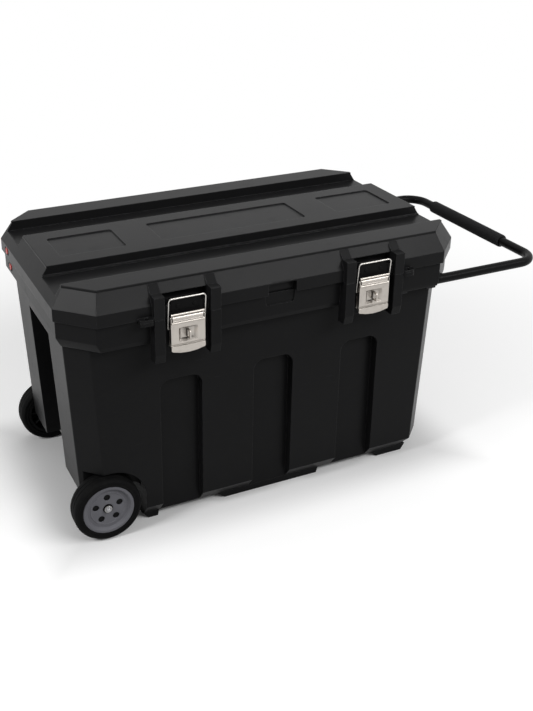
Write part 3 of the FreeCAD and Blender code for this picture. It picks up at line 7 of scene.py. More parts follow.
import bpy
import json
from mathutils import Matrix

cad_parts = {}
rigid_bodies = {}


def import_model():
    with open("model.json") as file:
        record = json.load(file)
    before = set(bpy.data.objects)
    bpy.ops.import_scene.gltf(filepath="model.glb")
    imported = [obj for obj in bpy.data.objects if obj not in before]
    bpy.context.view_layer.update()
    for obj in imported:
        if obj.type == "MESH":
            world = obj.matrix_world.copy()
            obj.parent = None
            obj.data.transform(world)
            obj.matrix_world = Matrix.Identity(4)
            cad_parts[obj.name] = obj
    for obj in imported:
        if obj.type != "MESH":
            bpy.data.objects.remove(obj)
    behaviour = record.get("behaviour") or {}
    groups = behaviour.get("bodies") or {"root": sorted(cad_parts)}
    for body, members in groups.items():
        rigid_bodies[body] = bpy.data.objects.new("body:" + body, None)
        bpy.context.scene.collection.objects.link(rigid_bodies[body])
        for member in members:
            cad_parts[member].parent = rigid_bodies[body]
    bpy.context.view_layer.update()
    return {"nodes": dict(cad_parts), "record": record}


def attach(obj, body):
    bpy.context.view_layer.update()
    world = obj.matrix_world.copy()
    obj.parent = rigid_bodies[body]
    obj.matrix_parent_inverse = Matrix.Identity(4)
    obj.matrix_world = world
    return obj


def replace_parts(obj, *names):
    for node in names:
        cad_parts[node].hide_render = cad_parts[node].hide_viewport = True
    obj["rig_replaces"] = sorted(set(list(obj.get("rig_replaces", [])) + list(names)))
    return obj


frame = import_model()

# %% [markdown]
# ## Names used all through
# The frame says which body a piece moves with and which finish it wears. Sizes are written in millimetres,
# as on a drawing, and MM turns them into Blender's metres.

# %% Bodies, finishes and the millimetre
import json
import math

import bpy
from mathutils import Vector

MM = 0.001
node = frame["nodes"]
bodies = frame["record"]["behaviour"]["bodies"]
body_of = {name: body for body, names in bodies.items() for name in names}
slot_of = {part["node"]: part["material_slot"] for part in frame["record"]["subparts"]}
print("pieces:", len(node), "bodies:", len(bodies))

# %% [markdown]
# ## Shader sums
# A finish is mostly arithmetic on noise. Wiring every Math node by hand hides the idea, so one small class
# wraps a socket: an expression such as `1 - mask * 0.3` adds its own nodes.

# %% Socket arithmetic
class Wire:
    """An output socket that is added, taken away and multiplied like a number."""

    def __init__(self, tree, socket):
        self.tree = tree
        self.socket = socket

    def maths(self, operation, *values):
        step = self.tree.nodes.new("ShaderNodeMath")
        step.operation = operation
        for place, value in zip(step.inputs, values):
            connect(self.tree, value, place)
        return Wire(self.tree, step.outputs[0])

    def __add__(self, other):
        return self.maths("ADD", self, other)

    def __radd__(self, other):
        return self.maths("ADD", other, self)

    def __sub__(self, other):
        return self.maths("SUBTRACT", self, other)

    def __rsub__(self, other):
        return self.maths("SUBTRACT", other, self)

    def __mul__(self, other):
        return self.maths("MULTIPLY", self, other)

    def __rmul__(self, other):
        return self.maths("MULTIPLY", other, self)

    def __abs__(self):
        return self.maths("ABSOLUTE", self)

    def at_least(self, other):
        return self.maths("MAXIMUM", self, other)

    def clamp(self):
        return self.maths("MINIMUM", self.at_least(0.0), 1.0)


def connect(tree, value, place):
    """Link a Wire, or write a plain number or colour into the socket."""
    if isinstance(value, Wire):
        tree.links.new(value.socket, place)
    else:
        place.default_value = value


# %% [markdown]
# Nodes of any other kind come from one method. It takes the type, the settings, which are set first because
# they can change the sockets, and what goes into each socket.

# %% A tree of nodes
class Tree:
    """The node tree of a material or of the world."""

    def __init__(self, tree):
        self.tree = tree

    def node(self, kind, settings=None, sockets=None, out=0):
        made = self.tree.nodes.new("ShaderNode" + kind)
        for key, value in (settings or {}).items():
            setattr(made, key, value)
        for key, value in (sockets or {}).items():
            connect(self.tree, value, made.inputs[key])
        return Wire(self.tree, made.outputs[out])

    def seen_directly(self):
        """1 for what the camera, a shiny surface or a lens sees, 0 for light that only spreads."""
        kinds = ("Is Camera Ray", "Is Glossy Ray", "Is Transmission Ray")
        camera_ray, glossy_ray, lens_ray = [self.node("LightPath", out=kind) for kind in kinds]
        return (camera_ray + glossy_ray + lens_ray).clamp()


# %% [markdown]
# A finish is such a tree with a Principled shader. Its patterns read Object coordinates, so they stay on the
# piece when it moves, and their sizes are real ones: noise of scale 60 has about 60 lumps to a metre.

# %% A finish being built
COLOUR_A, COLOUR_B, COLOUR_OUT = 6, 7, 2
BEVEL_RAYS = {"samples": 4}


class Finish(Tree):
    """One material: its Principled shader, its Object coordinates and the patterns laid on it."""

    def __init__(self, name, constants):
        self.material = bpy.data.materials.new(name)
        self.material.use_nodes = True
        super().__init__(self.material.node_tree)
        self.shader = self.tree.nodes["Principled BSDF"]
        for key, value in constants.items():
            self.shader.inputs[key].default_value = value
        self.place = self.node("TexCoord", out="Object")

    def noise(self, scale, detail=3.0, rough=0.55, stretch=None):
        """Noise in cycles per metre; stretch squeezes it along X, Y and Z."""
        where = self.place
        if stretch:
            where = self.node("Mapping", sockets={"Vector": where, "Scale": stretch})
        sockets = {"Vector": where, "Scale": scale, "Detail": detail, "Roughness": rough}
        return self.node("TexNoise", sockets=sockets)

    def between(self, value, low, high):
        """0 below low, 1 above high, a smooth ramp in between."""
        sockets = {"Value": value, "From Min": low, "From Max": high}
        return self.node("MapRange", {"interpolation_type": "SMOOTHSTEP"}, sockets, "Result")

    def blend_colour(self, amount, first, second):
        """The first colour where amount is 0, the second where it is 1."""
        sockets = {"Factor": amount, COLOUR_A: first, COLOUR_B: second}
        return self.node("Mix", {"data_type": "RGBA"}, sockets, COLOUR_OUT)

    def edge(self, radius):
        """1 on sharp edges, 0 on flats: how far a rounded normal leaves the true one."""
        rounded = self.node("Bevel", BEVEL_RAYS, {"Radius": radius})
        true = self.node("NewGeometry", out="Normal")
        alike = self.node("VectorMath", {"operation": "DOT_PRODUCT"}, {0: rounded, 1: true}, "Value")
        return self.between(1 - alike, 0.02, 0.25)

    def surface(self, colour, roughness, height=None, strength=1.0, distance=MM, rounding=None):
        """Wire what varies over the surface into the shader; rounding softens the edges' shading."""
        connect(self.tree, colour, self.shader.inputs["Base Color"])
        connect(self.tree, roughness, self.shader.inputs["Roughness"])
        if height is not None:
            sockets = {"Height": height, "Strength": strength, "Distance": distance}
            if rounding:
                sockets["Normal"] = self.node("Bevel", BEVEL_RAYS, {"Radius": rounding})
            connect(self.tree, self.node("Bump", sockets=sockets), self.shader.inputs["Normal"])
        return self.material


def grey(tone, blue=1.04):
    """A neutral colour of one linear tone, with its blue a little up."""
    return (tone, tone, tone * blue, 1)


# %% [markdown]
# ## Finishes
# Moulded polypropylene is never a flat black: a fine spark-eroded grain breaks up the shine, the sheen
# drifts a little over a big panel, and corners and rims rub paler. The same recipe, with its own colours,
# serves the tub, the lid, the wheel covers and cores, and the handle's guides.

# %% Moulded plastic
RUBBED_EDGE = 2.2 * MM


def moulded_plastic(name, dark, pale, rub, rough=0.30, shine=0.06, blue=1.04):
    finish = Finish(name, {"Specular IOR Level": shine})
    pebble = finish.noise(1500.0, 2.0, 0.5)
    drift = finish.noise(5.0, 4.0, 0.6)
    mottle = finish.noise(60.0, 4.0, 0.65)
    sag = finish.noise(14.0, 2.0, 0.5)
    scratch = finish.between(finish.noise(420.0, 2.0, 0.5, (0.05, 1.0, 0.9)), 0.70, 0.76)
    smear = finish.between(finish.noise(26.0, 5.0, 0.7), 0.56, 0.72)
    rubbed = finish.edge(RUBBED_EDGE) * finish.between(finish.noise(90.0, 4.0, 0.7), 0.34, 0.60)
    colour = finish.blend_colour(drift * 0.6 + mottle * 0.4, grey(dark, blue), grey(pale, blue))
    colour = finish.blend_colour((rubbed * 0.6 + scratch * 0.10).clamp(), colour, grey(rub, blue))
    roughness = rough + (drift - 0.5) * 0.12 + smear * 0.05 + pebble * 0.06 - rubbed * 0.10
    height = pebble * 0.8 + mottle * 0.25 - scratch * 0.3 + sag * 5.0
    return finish.surface(colour, roughness, height, 0.12, 0.25 * MM, RUBBED_EDGE)


look = {}
look["tub_plastic"] = moulded_plastic("tub plastic", 0.0065, 0.0110, 0.060)
look["lid_plastic"] = moulded_plastic("lid plastic", 0.0065, 0.0110, 0.075, shine=0.075)
look["cover_plastic"] = moulded_plastic("cover plastic", 0.135, 0.180, 0.30, 0.48, blue=1.10)
look["core_plastic"] = moulded_plastic("core plastic", 0.005, 0.009, 0.03, 0.50)
look["guide_plastic"] = moulded_plastic("guide plastic", 0.020, 0.030, 0.08, 0.50)
print("moulded finishes:", sorted(look))


# %% [markdown]
# Tyre rubber is matt with a dusty tread, the grip's foam is full of tiny cells, and the handle's powder coat
# has the orange-peel ripple that baked powder leaves.

# %% Rubber, foam and powder coat
def rubber(name, dark, dusty, rough):
    finish = Finish(name, {"Specular IOR Level": 0.06})
    pore = finish.noise(900.0, 3.0, 0.6)
    dust = finish.between(finish.noise(34.0, 5.0, 0.68), 0.46, 0.70)
    colour = finish.blend_colour(dust * 0.7, grey(dark), grey(dusty, 0.96))
    return finish.surface(colour, rough + dust * 0.12 + pore * 0.08, pore, 0.25, 0.3 * MM, 1.0 * MM)


def foam(name):
    finish = Finish(name, {"Specular IOR Level": 0.12})
    cells = finish.node("TexVoronoi", {"feature": "F1"}, {"Vector": finish.place, "Scale": 620.0})
    lumps = finish.noise(40.0, 3.0, 0.5)
    colour = finish.blend_colour(cells.clamp(), (0.008, 0.008, 0.0085, 1), (0.022, 0.022, 0.023, 1))
    return finish.surface(colour, 0.78 + lumps * 0.1, cells * 0.7 + lumps * 0.5, 0.5, 0.6 * MM)


def powder_coat(name, dark, worn_tone, rough):
    finish = Finish(name, {"Specular IOR Level": 0.06})
    peel = finish.noise(420.0, 2.0, 0.45)
    worn = finish.between(finish.noise(18.0, 6.0, 0.7, (0.35, 1.0, 1.0)), 0.60, 0.75)
    colour = finish.blend_colour(worn * 0.5, grey(dark), grey(worn_tone))
    return finish.surface(colour, rough + worn * 0.16 + peel * 0.05, peel, 0.22, 0.4 * MM)


look["tyre_rubber"] = rubber("tyre rubber", 0.0030, 0.0090, 0.62)
look["seal_rubber"] = rubber("seal rubber", 0.0100, 0.0200, 0.55)
look["grip_foam"] = foam("grip foam")
look["handle_paint"] = powder_coat("handle powder coat", 0.0045, 0.0150, 0.32)
look["keeper_coat"] = powder_coat("keeper coat", 0.0040, 0.0150, 0.42)
print("finishes so far:", len(look))


# %% [markdown]
# The latches are rolled sheet, satin along the roll, so their noise is stretched into hair lines, and inner
# corners get painted shade: an Ambient Occlusion node darkens their colour there. Pins and rivets are zinc
# plated, slightly cloudy and without a roll's direction. The small ovals are red moulded lenses with prisms
# inside.

# %% Sheet, wire, zinc and lens
ROLLED = (0.04, 1.0, 1.0)
EVEN = (1.0, 1.0, 1.0)
PAINTED_SHADE_REACH = 12.0 * MM
MARKS_AND_PAINTED_SHADE_TONE = 0.42


def steel(name, tone, rough, hair=ROLLED):
    finish = Finish(name, {"Metallic": 1.0})
    lines = finish.noise(2600.0, 3.0, 0.6, hair)
    cloud = finish.noise(45.0, 4.0, 0.6)
    handled = finish.between(finish.noise(90.0, 5.0, 0.7), 0.52, 0.70)
    # painted shade: where Ambient Occlusion finds an inner corner closed in, the colour is darkened to stand in
    # for shade
    open_air = finish.node("AmbientOcclusion", {"samples": 8}, {"Distance": PAINTED_SHADE_REACH}, "AO")
    corner = 1 - finish.between(open_air, 0.50, 0.97)
    shade = tuple(channel * MARKS_AND_PAINTED_SHADE_TONE for channel in tone)
    # the dark colour serves cloudy and handled marks, and the painted shade in inner corners
    colour = finish.blend_colour((cloud * 0.25 + handled * 0.12 + corner).clamp(), tone + (1,), shade + (1,))
    roughness = rough + (lines - 0.5) * 0.16 + handled * 0.10
    return finish.surface(colour, roughness, lines + cloud * 0.3, 0.10, 0.15 * MM, 0.5 * MM)


def red_lens(name):
    finish = Finish(name, {"Specular IOR Level": 0.5})
    sockets = {"Vector": finish.place, "Scale": 330.0}
    prisms = finish.node("TexVoronoi", {"feature": "DISTANCE_TO_EDGE"}, sockets)
    cloud = finish.noise(120.0, 3.0, 0.6)
    colour = finish.blend_colour(cloud, (0.42, 0.016, 0.014, 1), (0.62, 0.035, 0.025, 1))
    return finish.surface(colour, 0.24 + cloud * 0.12, prisms, 0.25, 0.4 * MM)


look["latch_steel"] = steel("latch sheet steel", (0.50, 0.465, 0.425), 0.32)
look["wire_steel"] = steel("bail wire", (0.56, 0.54, 0.51), 0.26)
look["pin_steel"] = steel("zinc plate", (0.44, 0.43, 0.42), 0.38, EVEN)
look["cap_steel"] = steel("push nut plate", (0.36, 0.36, 0.37), 0.34, EVEN)
look["reflector_red"] = red_lens("red lens")
print("finishes:", len(look), "slots without one:", sorted(set(slot_of.values()) - set(look)))


# %% [markdown]
# ## Working on one piece at a time
# Operators act on whatever is selected, so every step starts from a clean selection, and faces are then
# picked in code, by where they lie and which way they look.

# %% Selecting
def deselect():
    if bpy.context.object and bpy.context.object.mode != "OBJECT":
        bpy.ops.object.mode_set(mode="OBJECT")
    bpy.ops.object.select_all(action="DESELECT")


def take(*pieces):
    deselect()
    for piece in pieces:
        piece.select_set(True)
    bpy.context.view_layer.objects.active = pieces[0]


def edit(piece):
    """All of the piece selected, as vertices, since a bare ring has no faces to select."""
    take(piece)
    bpy.ops.object.mode_set(mode="EDIT")
    bpy.ops.mesh.select_mode(type="VERT")
    bpy.ops.mesh.select_all(action="SELECT")


def faces_where(piece, wanted):
    """Select the faces for which wanted(centre, normal) is true."""
    deselect()
    bpy.context.view_layer.objects.active = piece
    for face in piece.data.polygons:
        face.select = wanted(face.center, face.normal)
    for edge in piece.data.edges:
        edge.select = False
    for vertex in piece.data.vertices:
        vertex.select = False
    bpy.ops.object.mode_set(mode="EDIT")
    bpy.ops.mesh.select_mode(type="FACE")


# %% [markdown]
# A moulded or pressed piece is smooth on its curves and breaks at its edges. Smooth shading that stops at an
# angle gives that, and marking the same edges sharp keeps the break when the normals are weighted later.

# %% Smooth shading and modifiers
def smooth(piece, angle):
    """Smooth shading that stops at every edge sharper than the angle in degrees."""
    take(piece)
    bpy.ops.object.shade_smooth_by_angle(angle=math.radians(angle))
    edit(piece)
    bpy.ops.mesh.select_mode(type="EDGE")
    bpy.ops.mesh.select_all(action="DESELECT")
    bpy.ops.mesh.edges_select_sharp(sharpness=math.radians(angle))
    bpy.ops.mesh.mark_sharp()
    deselect()


def apply_modifier(piece, kind, **settings):
    take(piece)
    modifier = piece.modifiers.new(kind.title(), kind)
    for key, value in settings.items():
        setattr(modifier, key, value)
    bpy.ops.object.modifier_apply(modifier=modifier.name)


def soften(piece, width, angle):
    """A small bevel, in millimetres, on every edge sharper than the angle in degrees."""
    apply_modifier(piece, "BEVEL", width=width * MM, segments=2, limit_method="ANGLE",
                   angle_limit=math.radians(angle), use_clamp_overlap=True)


def combine(piece, other, operation):
    """Cut the other piece out or melt it in; the other one is used up."""
    apply_modifier(piece, "BOOLEAN", operation=operation, object=other, solver="EXACT")
    bpy.data.objects.remove(other)


# %% [markdown]
# Wheels, washers, rivets and latches come in sets. One is modelled, and the others are copies of it with
# their own meshes, turned over, moved or swung round a centre in edit mode, so that each object itself stays
# at the origin, unturned.

# %% Copies
def started(name):
    """The primitive that was just added, named, with its place written into its mesh."""
    piece = bpy.context.object
    piece.name = name
    bpy.ops.object.transform_apply(location=True, rotation=True, scale=True)
    return piece


def copied(piece, name):
    """A copy with its own mesh, left in edit mode and selected all over."""
    take(piece)
    bpy.ops.object.duplicate()
    other = bpy.context.object
    other.name = name
    edit(other)
    return other


def mirrored(piece, name):
    """A copy turned over to the other long side of the box."""
    other = copied(piece, name)
    bpy.ops.transform.mirror(constraint_axis=(False, True, False), center_override=(0.0, 0.0, 0.0))
    bpy.ops.mesh.normals_make_consistent(inside=False)
    deselect()
    return other


def shifted(piece, name, x=0.0, y=0.0, z=0.0):
    """A copy moved by so many millimetres."""
    other = copied(piece, name)
    bpy.ops.transform.translate(value=(x * MM, y * MM, z * MM))
    deselect()
    return other


def swung(piece, name, degrees, centre):
    """A copy swung about a line along Y; centre is its (x, z) in millimetres."""
    other = copied(piece, name)
    bpy.ops.transform.rotate(value=math.radians(degrees), orient_axis="Y",
                             center_override=(centre[0] * MM, 0.0, centre[1] * MM))
    deselect()
    return other


def joined(name, pieces):
    take(*pieces)
    bpy.ops.object.join()
    pieces[0].name = name
    return pieces[0]


# %% [markdown]
# When a piece is done it gets its finish, joins the body it moves with, and stands for the CAD nodes it was
# made after, which are then no longer shown.

# %% Handing over
def hand_over(piece, *nodes):
    slot_name = slot_of[nodes[0]]
    piece.data.materials.clear()
    piece.data.materials.append(look[slot_name])
    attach(piece, body_of[nodes[0]])
    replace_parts(piece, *nodes)
    print(piece.name, "faces", len(piece.data.polygons), "for", ", ".join(nodes))


# %% [markdown]
# ## Turned pieces
# Tyres, covers, nuts, rivets and grips are all round. A lathe is easy to copy: a ring of points is pushed
# along the axis and widened or narrowed, once for every corner of the profile. Where the last corner is the
# first one again, the piece closes into a ring; otherwise its two ends are filled.

# %% A ring of points, and a lathe
ALONG_Y = (math.pi / 2, 0.0, 0.0)
SAME_POINT = 0.002 * MM


def ring(name, radius, place, facing, count):
    deselect()
    bpy.ops.mesh.primitive_circle_add(vertices=count, radius=radius * MM, fill_type="NOTHING",
                                      location=Vector(place) * MM, rotation=facing)
    piece = started(name)
    edit(piece)
    return piece


def push(way):
    """Extrude what is selected by so many metres."""
    bpy.ops.mesh.extrude_region_move(TRANSFORM_OT_translate={"value": tuple(way)})


def close(piece):
    bpy.ops.mesh.select_all(action="SELECT")
    bpy.ops.mesh.remove_doubles(threshold=SAME_POINT)
    bpy.ops.mesh.fill_holes(sides=0)
    bpy.ops.mesh.select_all(action="SELECT")
    bpy.ops.mesh.normals_make_consistent(inside=False)
    bpy.ops.object.mode_set(mode="OBJECT")


def turned(name, centre, profile, count, angle):
    """Round piece about a line along Y; centre is (x, z), profile is (radius, y) pairs, in millimetres.

    count is how many points the ring has, and angle in degrees where its smooth shading stops."""
    radius, y = profile[0]
    piece = ring(name, radius, (centre[0], y, centre[1]), ALONG_Y, count)
    for wider, further in profile[1:]:
        push((0.0, (further - y) * MM, 0.0))
        grow = wider / radius
        bpy.ops.transform.resize(value=(grow, 1.0, grow),
                                 center_override=(centre[0] * MM, further * MM, centre[1] * MM))
        radius, y = wider, further
    close(piece)
    smooth(piece, angle)
    return piece


# %% [markdown]
# ## The wheels
# A solid rubber tyre sits on a black moulded core, with a pale dished cover pressed in from outside. The tyre
# has a rounded shoulder, a raised band on its sidewall and two thin grooves round its tread, all of which
# are corners of one profile. The far wheel is the near one turned over.

# %% Tyres
WHEEL = (-388.0, 75.0)
tyre = turned("tyre_near", WHEEL, (
    (57.0, -244.0), (58.2, -246.0), (60.4, -246.8), (61.4, -246.0), (65.6, -246.2), (66.8, -247.0),
    (69.4, -246.5), (72.2, -244.2), (74.2, -240.6), (75.0, -236.5), (75.0, -230.6), (73.8, -229.9),
    (73.8, -228.9), (75.0, -228.2), (75.0, -219.8), (73.8, -219.1), (73.8, -218.1), (75.0, -217.4),
    (75.0, -211.5), (74.2, -207.4), (72.2, -203.8), (69.4, -201.5), (66.8, -201.0), (65.6, -201.8),
    (61.4, -202.0), (60.4, -201.2), (58.2, -202.0), (57.0, -204.0), (57.0, -244.0)), 112, 28)
hand_over(mirrored(tyre, "tyre_far"), "tyre_back")
hand_over(tyre, "tyre_front")

# %% [markdown]
# The cover is turned too. Its five holes are cut by one cylinder, swung round the axle from hole to hole. A
# small bevel then softens every edge, since a sharp edge on moulded plastic catches no light.

# %% Wheel covers
HOLES = 5
FIRST_HOLE = math.radians(20.0)
HOLE_CIRCLE = 28.0
cover = turned("wheel_cover_near", WHEEL, (
    (57.0, -243.0), (57.0, -244.3), (56.3, -245.0), (50.8, -245.0), (50.0, -244.4), (46.9, -238.0),
    (40.0, -238.0), (39.4, -238.8), (38.4, -238.8), (37.8, -238.0), (11.0, -238.0), (11.0, -236.0),
    (47.4, -236.0), (51.5, -243.0), (57.0, -243.0)), 112, 28)
hole_x = WHEEL[0] + HOLE_CIRCLE * math.cos(FIRST_HOLE)
hole_z = WHEEL[1] + HOLE_CIRCLE * math.sin(FIRST_HOLE)
deselect()
bpy.ops.mesh.primitive_cylinder_add(vertices=40, radius=7.4 * MM, depth=20.0 * MM, rotation=ALONG_Y,
                                    location=(hole_x * MM, -237.0 * MM, hole_z * MM))
cutter = started("hole_cutter")
for step in range(HOLES):
    combine(cover, swung(cutter, "one_hole", step * 360.0 / HOLES, WHEEL), "DIFFERENCE")
bpy.data.objects.remove(cutter)
soften(cover, 0.35, 40)
smooth(cover, 28)
hand_over(mirrored(cover, "wheel_cover_far"), "hub_cover_back")
hand_over(cover, "hub_cover_front")

# %% [markdown]
# Behind the cover the core is closed: a barrel under the tyre, a web and a boss that turns on the axle. Ten
# ribs stiffen the web on the inner side, where the far wheel shows them. One rib is a plain bar, and its
# copies are melted into the core.

# %% Wheel cores
RIBS = 10
RIB_SIZE = Vector((42.0, 24.0, 3.0))
RIB_MIDDLE = 31.0
FIRST_RIB = math.radians(5.6)
core = turned("wheel_core_near", WHEEL, (
    (5.4, -239.6), (10.8, -239.6), (10.8, -236.0), (11.0, -235.8), (50.0, -235.8), (51.2, -242.8),
    (56.8, -242.8), (56.8, -204.6), (50.6, -204.6), (50.6, -230.6), (14.0, -230.6), (11.0, -228.0),
    (11.0, -199.8), (5.4, -199.8), (5.4, -239.6)), 96, 30)
rib_x = WHEEL[0] + RIB_MIDDLE * math.cos(FIRST_RIB)
rib_z = WHEEL[1] - RIB_MIDDLE * math.sin(FIRST_RIB)
deselect()
bpy.ops.mesh.primitive_cube_add(size=1.0, scale=RIB_SIZE * MM, rotation=(0.0, FIRST_RIB, 0.0),
                                location=(rib_x * MM, -219.0 * MM, rib_z * MM))
rib = started("rib")
ribs = [swung(rib, "one_rib", step * 360.0 / RIBS, WHEEL) for step in range(RIBS)]
bpy.data.objects.remove(rib)
combine(core, joined("ribs", ribs), "UNION")
smooth(core, 30)
hand_over(mirrored(core, "wheel_core_far"), "hub_back")
hand_over(core, "hub_front")

# %% [markdown]
# A push nut is a thin steel cap with a flange, pressed over the axle's end. A washer lies under it, and
# another one on the wheel's inner side.

# %% Push nuts and washers
nut = turned("push_nut_near", WHEEL, (
    (7.0, -241.8), (7.0, -242.6), (6.6, -243.0), (5.3, -243.1), (4.9, -243.9), (4.7, -245.4), (4.0, -246.4),
    (2.6, -246.8), (0.8, -246.8)), 40, 40)
nuts = joined("push_nuts_pressed", [nut, mirrored(nut, "push_nut_far")])
hand_over(nuts, "push_nuts")
washer = turned("washer_near", WHEEL, (
    (5.05, -239.8), (8.3, -239.8), (8.5, -240.0), (8.5, -241.6), (8.3, -241.8), (5.05, -241.8),
    (5.05, -239.8)), 48, 40)
inner_washer = shifted(washer, "washer_near_inner", y=42.1)
far_washers = [mirrored(washer, "washer_far"), mirrored(inner_washer, "washer_far_inner")]
hand_over(joined("washers", [washer, inner_washer] + far_washers), "axle_washers")

# %% [markdown]
# ## Bent tube and wire
# The tow handle is steel tube drawn round a former, and each bail is bent from round wire. Both are one
# section led along a line: extruded where the line is straight, and spun where it bends.

# %% Lead a round section along a bent line
SHORTEST = 0.02 * MM


def bent(name, radius, corners, bends, count, steps):
    """corners are points in millimetres, bends the bend radius at every corner between the two ends.

    count is how many points the ring has, and steps how many pieces each bend is made of."""
    points = [Vector(corner) * MM for corner in corners]
    heading = (points[1] - points[0]).normalized()
    piece = ring(name, radius, corners[0], heading.to_track_quat("Z", "Y").to_euler(), count)
    here = points[0]
    for i, bend in enumerate(bends):
        corner = points[i + 1]
        ahead = (points[i + 2] - corner).normalized()
        turn = heading.angle(ahead)
        reach = bend * MM * math.tan(turn / 2)
        first = corner - heading * reach
        side = (ahead - heading * heading.dot(ahead)).normalized()
        if (first - here).length > SHORTEST:
            push(first - here)
        bpy.ops.mesh.spin(steps=steps, angle=-turn, center=first + side * bend * MM,
                          axis=heading.cross(ahead))
        here = corner + ahead * reach
        heading = ahead
    push(points[-1] - here)
    close(piece)
    smooth(piece, 40)
    return piece


# %% [markdown]
# The handle's two arms run back under the rim, and its bar joins them. The tube's ends are open, so each end
# face is inset by the tube's wall and pushed back inside.

# %% Tow handle
FOOT_X, BAR_X, ARM_Y, ARM_Z = 276.0, 697.0, 252.0, 471.0
handle = bent("tow_handle_tube", 11.0, (
    (FOOT_X, -ARM_Y, ARM_Z), (BAR_X, -ARM_Y, ARM_Z), (BAR_X, ARM_Y, ARM_Z), (FOOT_X, ARM_Y, ARM_Z)),
    (50.0, 50.0), 32, 14)
faces_where(handle, lambda centre, normal: normal.x < -0.99 and centre.x < (FOOT_X + 0.5) * MM)
bpy.ops.mesh.inset(thickness=2.0 * MM)
push((30.0 * MM, 0.0, 0.0))
smooth(handle, 40)
hand_over(handle, "handle_tube")

# %% [markdown]
# The grip is a foam sleeve pushed over the tube, a little fuller in the middle, with rounded ends. Foam has
# no sharp corners, so even its profile is drawn in many short steps.

# %% Grip
SWELL_START, SWELL_LENGTH, SWELL_STEPS = -114.0, 273.0, 16
sleeve = [(11.05, -120.0), (14.4, -120.0), (15.4, -119.2), (15.8, -117.6), (15.8, -114.0)]
for step in range(1, SWELL_STEPS):
    share = step / SWELL_STEPS
    sleeve.append((15.75 + 0.25 * math.sin(math.pi * share), SWELL_START + SWELL_LENGTH * share))
sleeve += [(15.8, 159.0), (15.8, 162.6), (15.4, 164.2), (14.4, 165.0), (11.05, 165.0), (11.05, -120.0)]
grip = turned("foam_grip", (BAR_X, ARM_Z), sleeve, 48, 50)
hand_over(grip, "handle_grip")

# %% [markdown]
# ## The latches' small pieces
# A bail is a loop of wire that draws the lid down. Its legs lean outwards to the keeper, and its two short
# ends turn in to the lever's sides. Both latches are alike, so the right bail is a copy of the left one.

# %% Bails
LATCH_X = 217.0
IN_LEVER, LEG = 35.3, 39.9
BAIL_FOOT = (-281.5, 494.0)
BAIL_TOP = (-288.5, 561.0)
left_bail = bent("bail_left", 1.6, (
    (-LATCH_X - IN_LEVER, *BAIL_FOOT), (-LATCH_X - LEG, *BAIL_FOOT), (-LATCH_X - LEG, *BAIL_TOP),
    (-LATCH_X + LEG, *BAIL_TOP), (-LATCH_X + LEG, *BAIL_FOOT), (-LATCH_X + IN_LEVER, *BAIL_FOOT)),
    (2.4, 7.0, 7.0, 2.4), 20, 8)
right_bail = shifted(left_bail, "bail_right", x=2 * LATCH_X)
hand_over(left_bail, "latch_bail_left")
hand_over(right_bail, "latch_bail_right")

# %% [markdown]
# A rivet's head is a low dome. One is turned and then set wherever sheet steel is held to plastic: four in
# each latch base, and two in each keeper, which is higher up and a little further out.

# %% Rivets
RIVET_GAP_X, RIVET_GAP_Z = 36.0, 43.0
KEEPER_OUT, KEEPER_UP = -5.0, 81.0
first_rivet = turned("rivet", (-LATCH_X - RIVET_GAP_X / 2, 460.0), (
    (2.4, -271.7), (2.4, -276.6), (4.3, -276.6), (4.4, -276.9), (4.1, -277.4), (3.2, -277.8), (2.0, -277.98),
    (0.7, -278.0)), 32, 40)
base_heads = []
keeper_heads = []
for latch_shift in (0.0, 2 * LATCH_X):
    for across in (0.0, RIVET_GAP_X):
        x = latch_shift + across
        for up in (0.0, RIVET_GAP_Z):
            base_heads.append(shifted(first_rivet, "base_rivet", x, 0.0, up))
        keeper_heads.append(shifted(first_rivet, "keeper_rivet", x, KEEPER_OUT, KEEPER_UP))
bpy.data.objects.remove(first_rivet)
hand_over(joined("base_rivets_set", base_heads), "base_rivets")
hand_over(joined("keeper_rivets_set", keeper_heads), "keeper_rivets")

# %% [markdown]
# ## Red lenses
# Each small oval is a moulded lens pressed into the plastic. A short cylinder is drawn out sideways into an
# oval, and its face gets a rim and a slightly sunk middle. The lid's lens is a copy of the rim's.

# %% Lenses
LENS_X, LENS_Y, LENS_Z = -465.0, 158.0, 499.0
deselect()
bpy.ops.mesh.primitive_cylinder_add(vertices=40, radius=7.5 * MM, depth=2.5 * MM,
                                    rotation=(0.0, math.pi / 2, 0.0),
                                    location=((LENS_X + 0.25) * MM, LENS_Y * MM, LENS_Z * MM))
lens = started("rim_lens")
for side in (-1, 1):
    deselect()
    for vertex in lens.data.vertices:
        vertex.select = (vertex.co.y - LENS_Y * MM) * side > 0.01 * MM
    bpy.ops.object.mode_set(mode="EDIT")
    bpy.ops.mesh.select_mode(type="VERT")
    bpy.ops.transform.translate(value=(0.0, side * 9.5 * MM, 0.0))
faces_where(lens, lambda centre, normal: normal.x < -0.9)
bpy.ops.mesh.inset(thickness=1.0 * MM)
bpy.ops.mesh.inset(thickness=0.5 * MM, depth=-0.5 * MM)
bpy.ops.mesh.inset(thickness=2.0 * MM, depth=0.35 * MM)
deselect()
soften(lens, 0.3, 50)
smooth(lens, 35)
lid_lens = shifted(lens, "lid_lens", x=-5.0, z=39.0)
hand_over(lens, "rim_reflector")
hand_over(lid_lens, "lid_reflector")

# %% [markdown]
# ## Pressed levers
# The levers are pressed a little further than in the CAD. The square pan gets sloping walls, by pushing its
# floor back and drawing it together. The foot of the plate is cut by level planes: one strip goes back and
# leaves a groove, and all below it comes forward as a lip.

# %% Pan and foot of a lever
PAN_Z = 481.5 * MM
PAN_REACH = Vector((22.0, 17.5)) * MM
PAN_BACK = 2.8 * MM
PAN_TAPER = 0.74
GROOVE = [level * MM for level in (462.2, 460.8, 458.8, 457.4)]
GROOVE_BACK, LIP_OUT = 1.1 * MM, -1.2 * MM


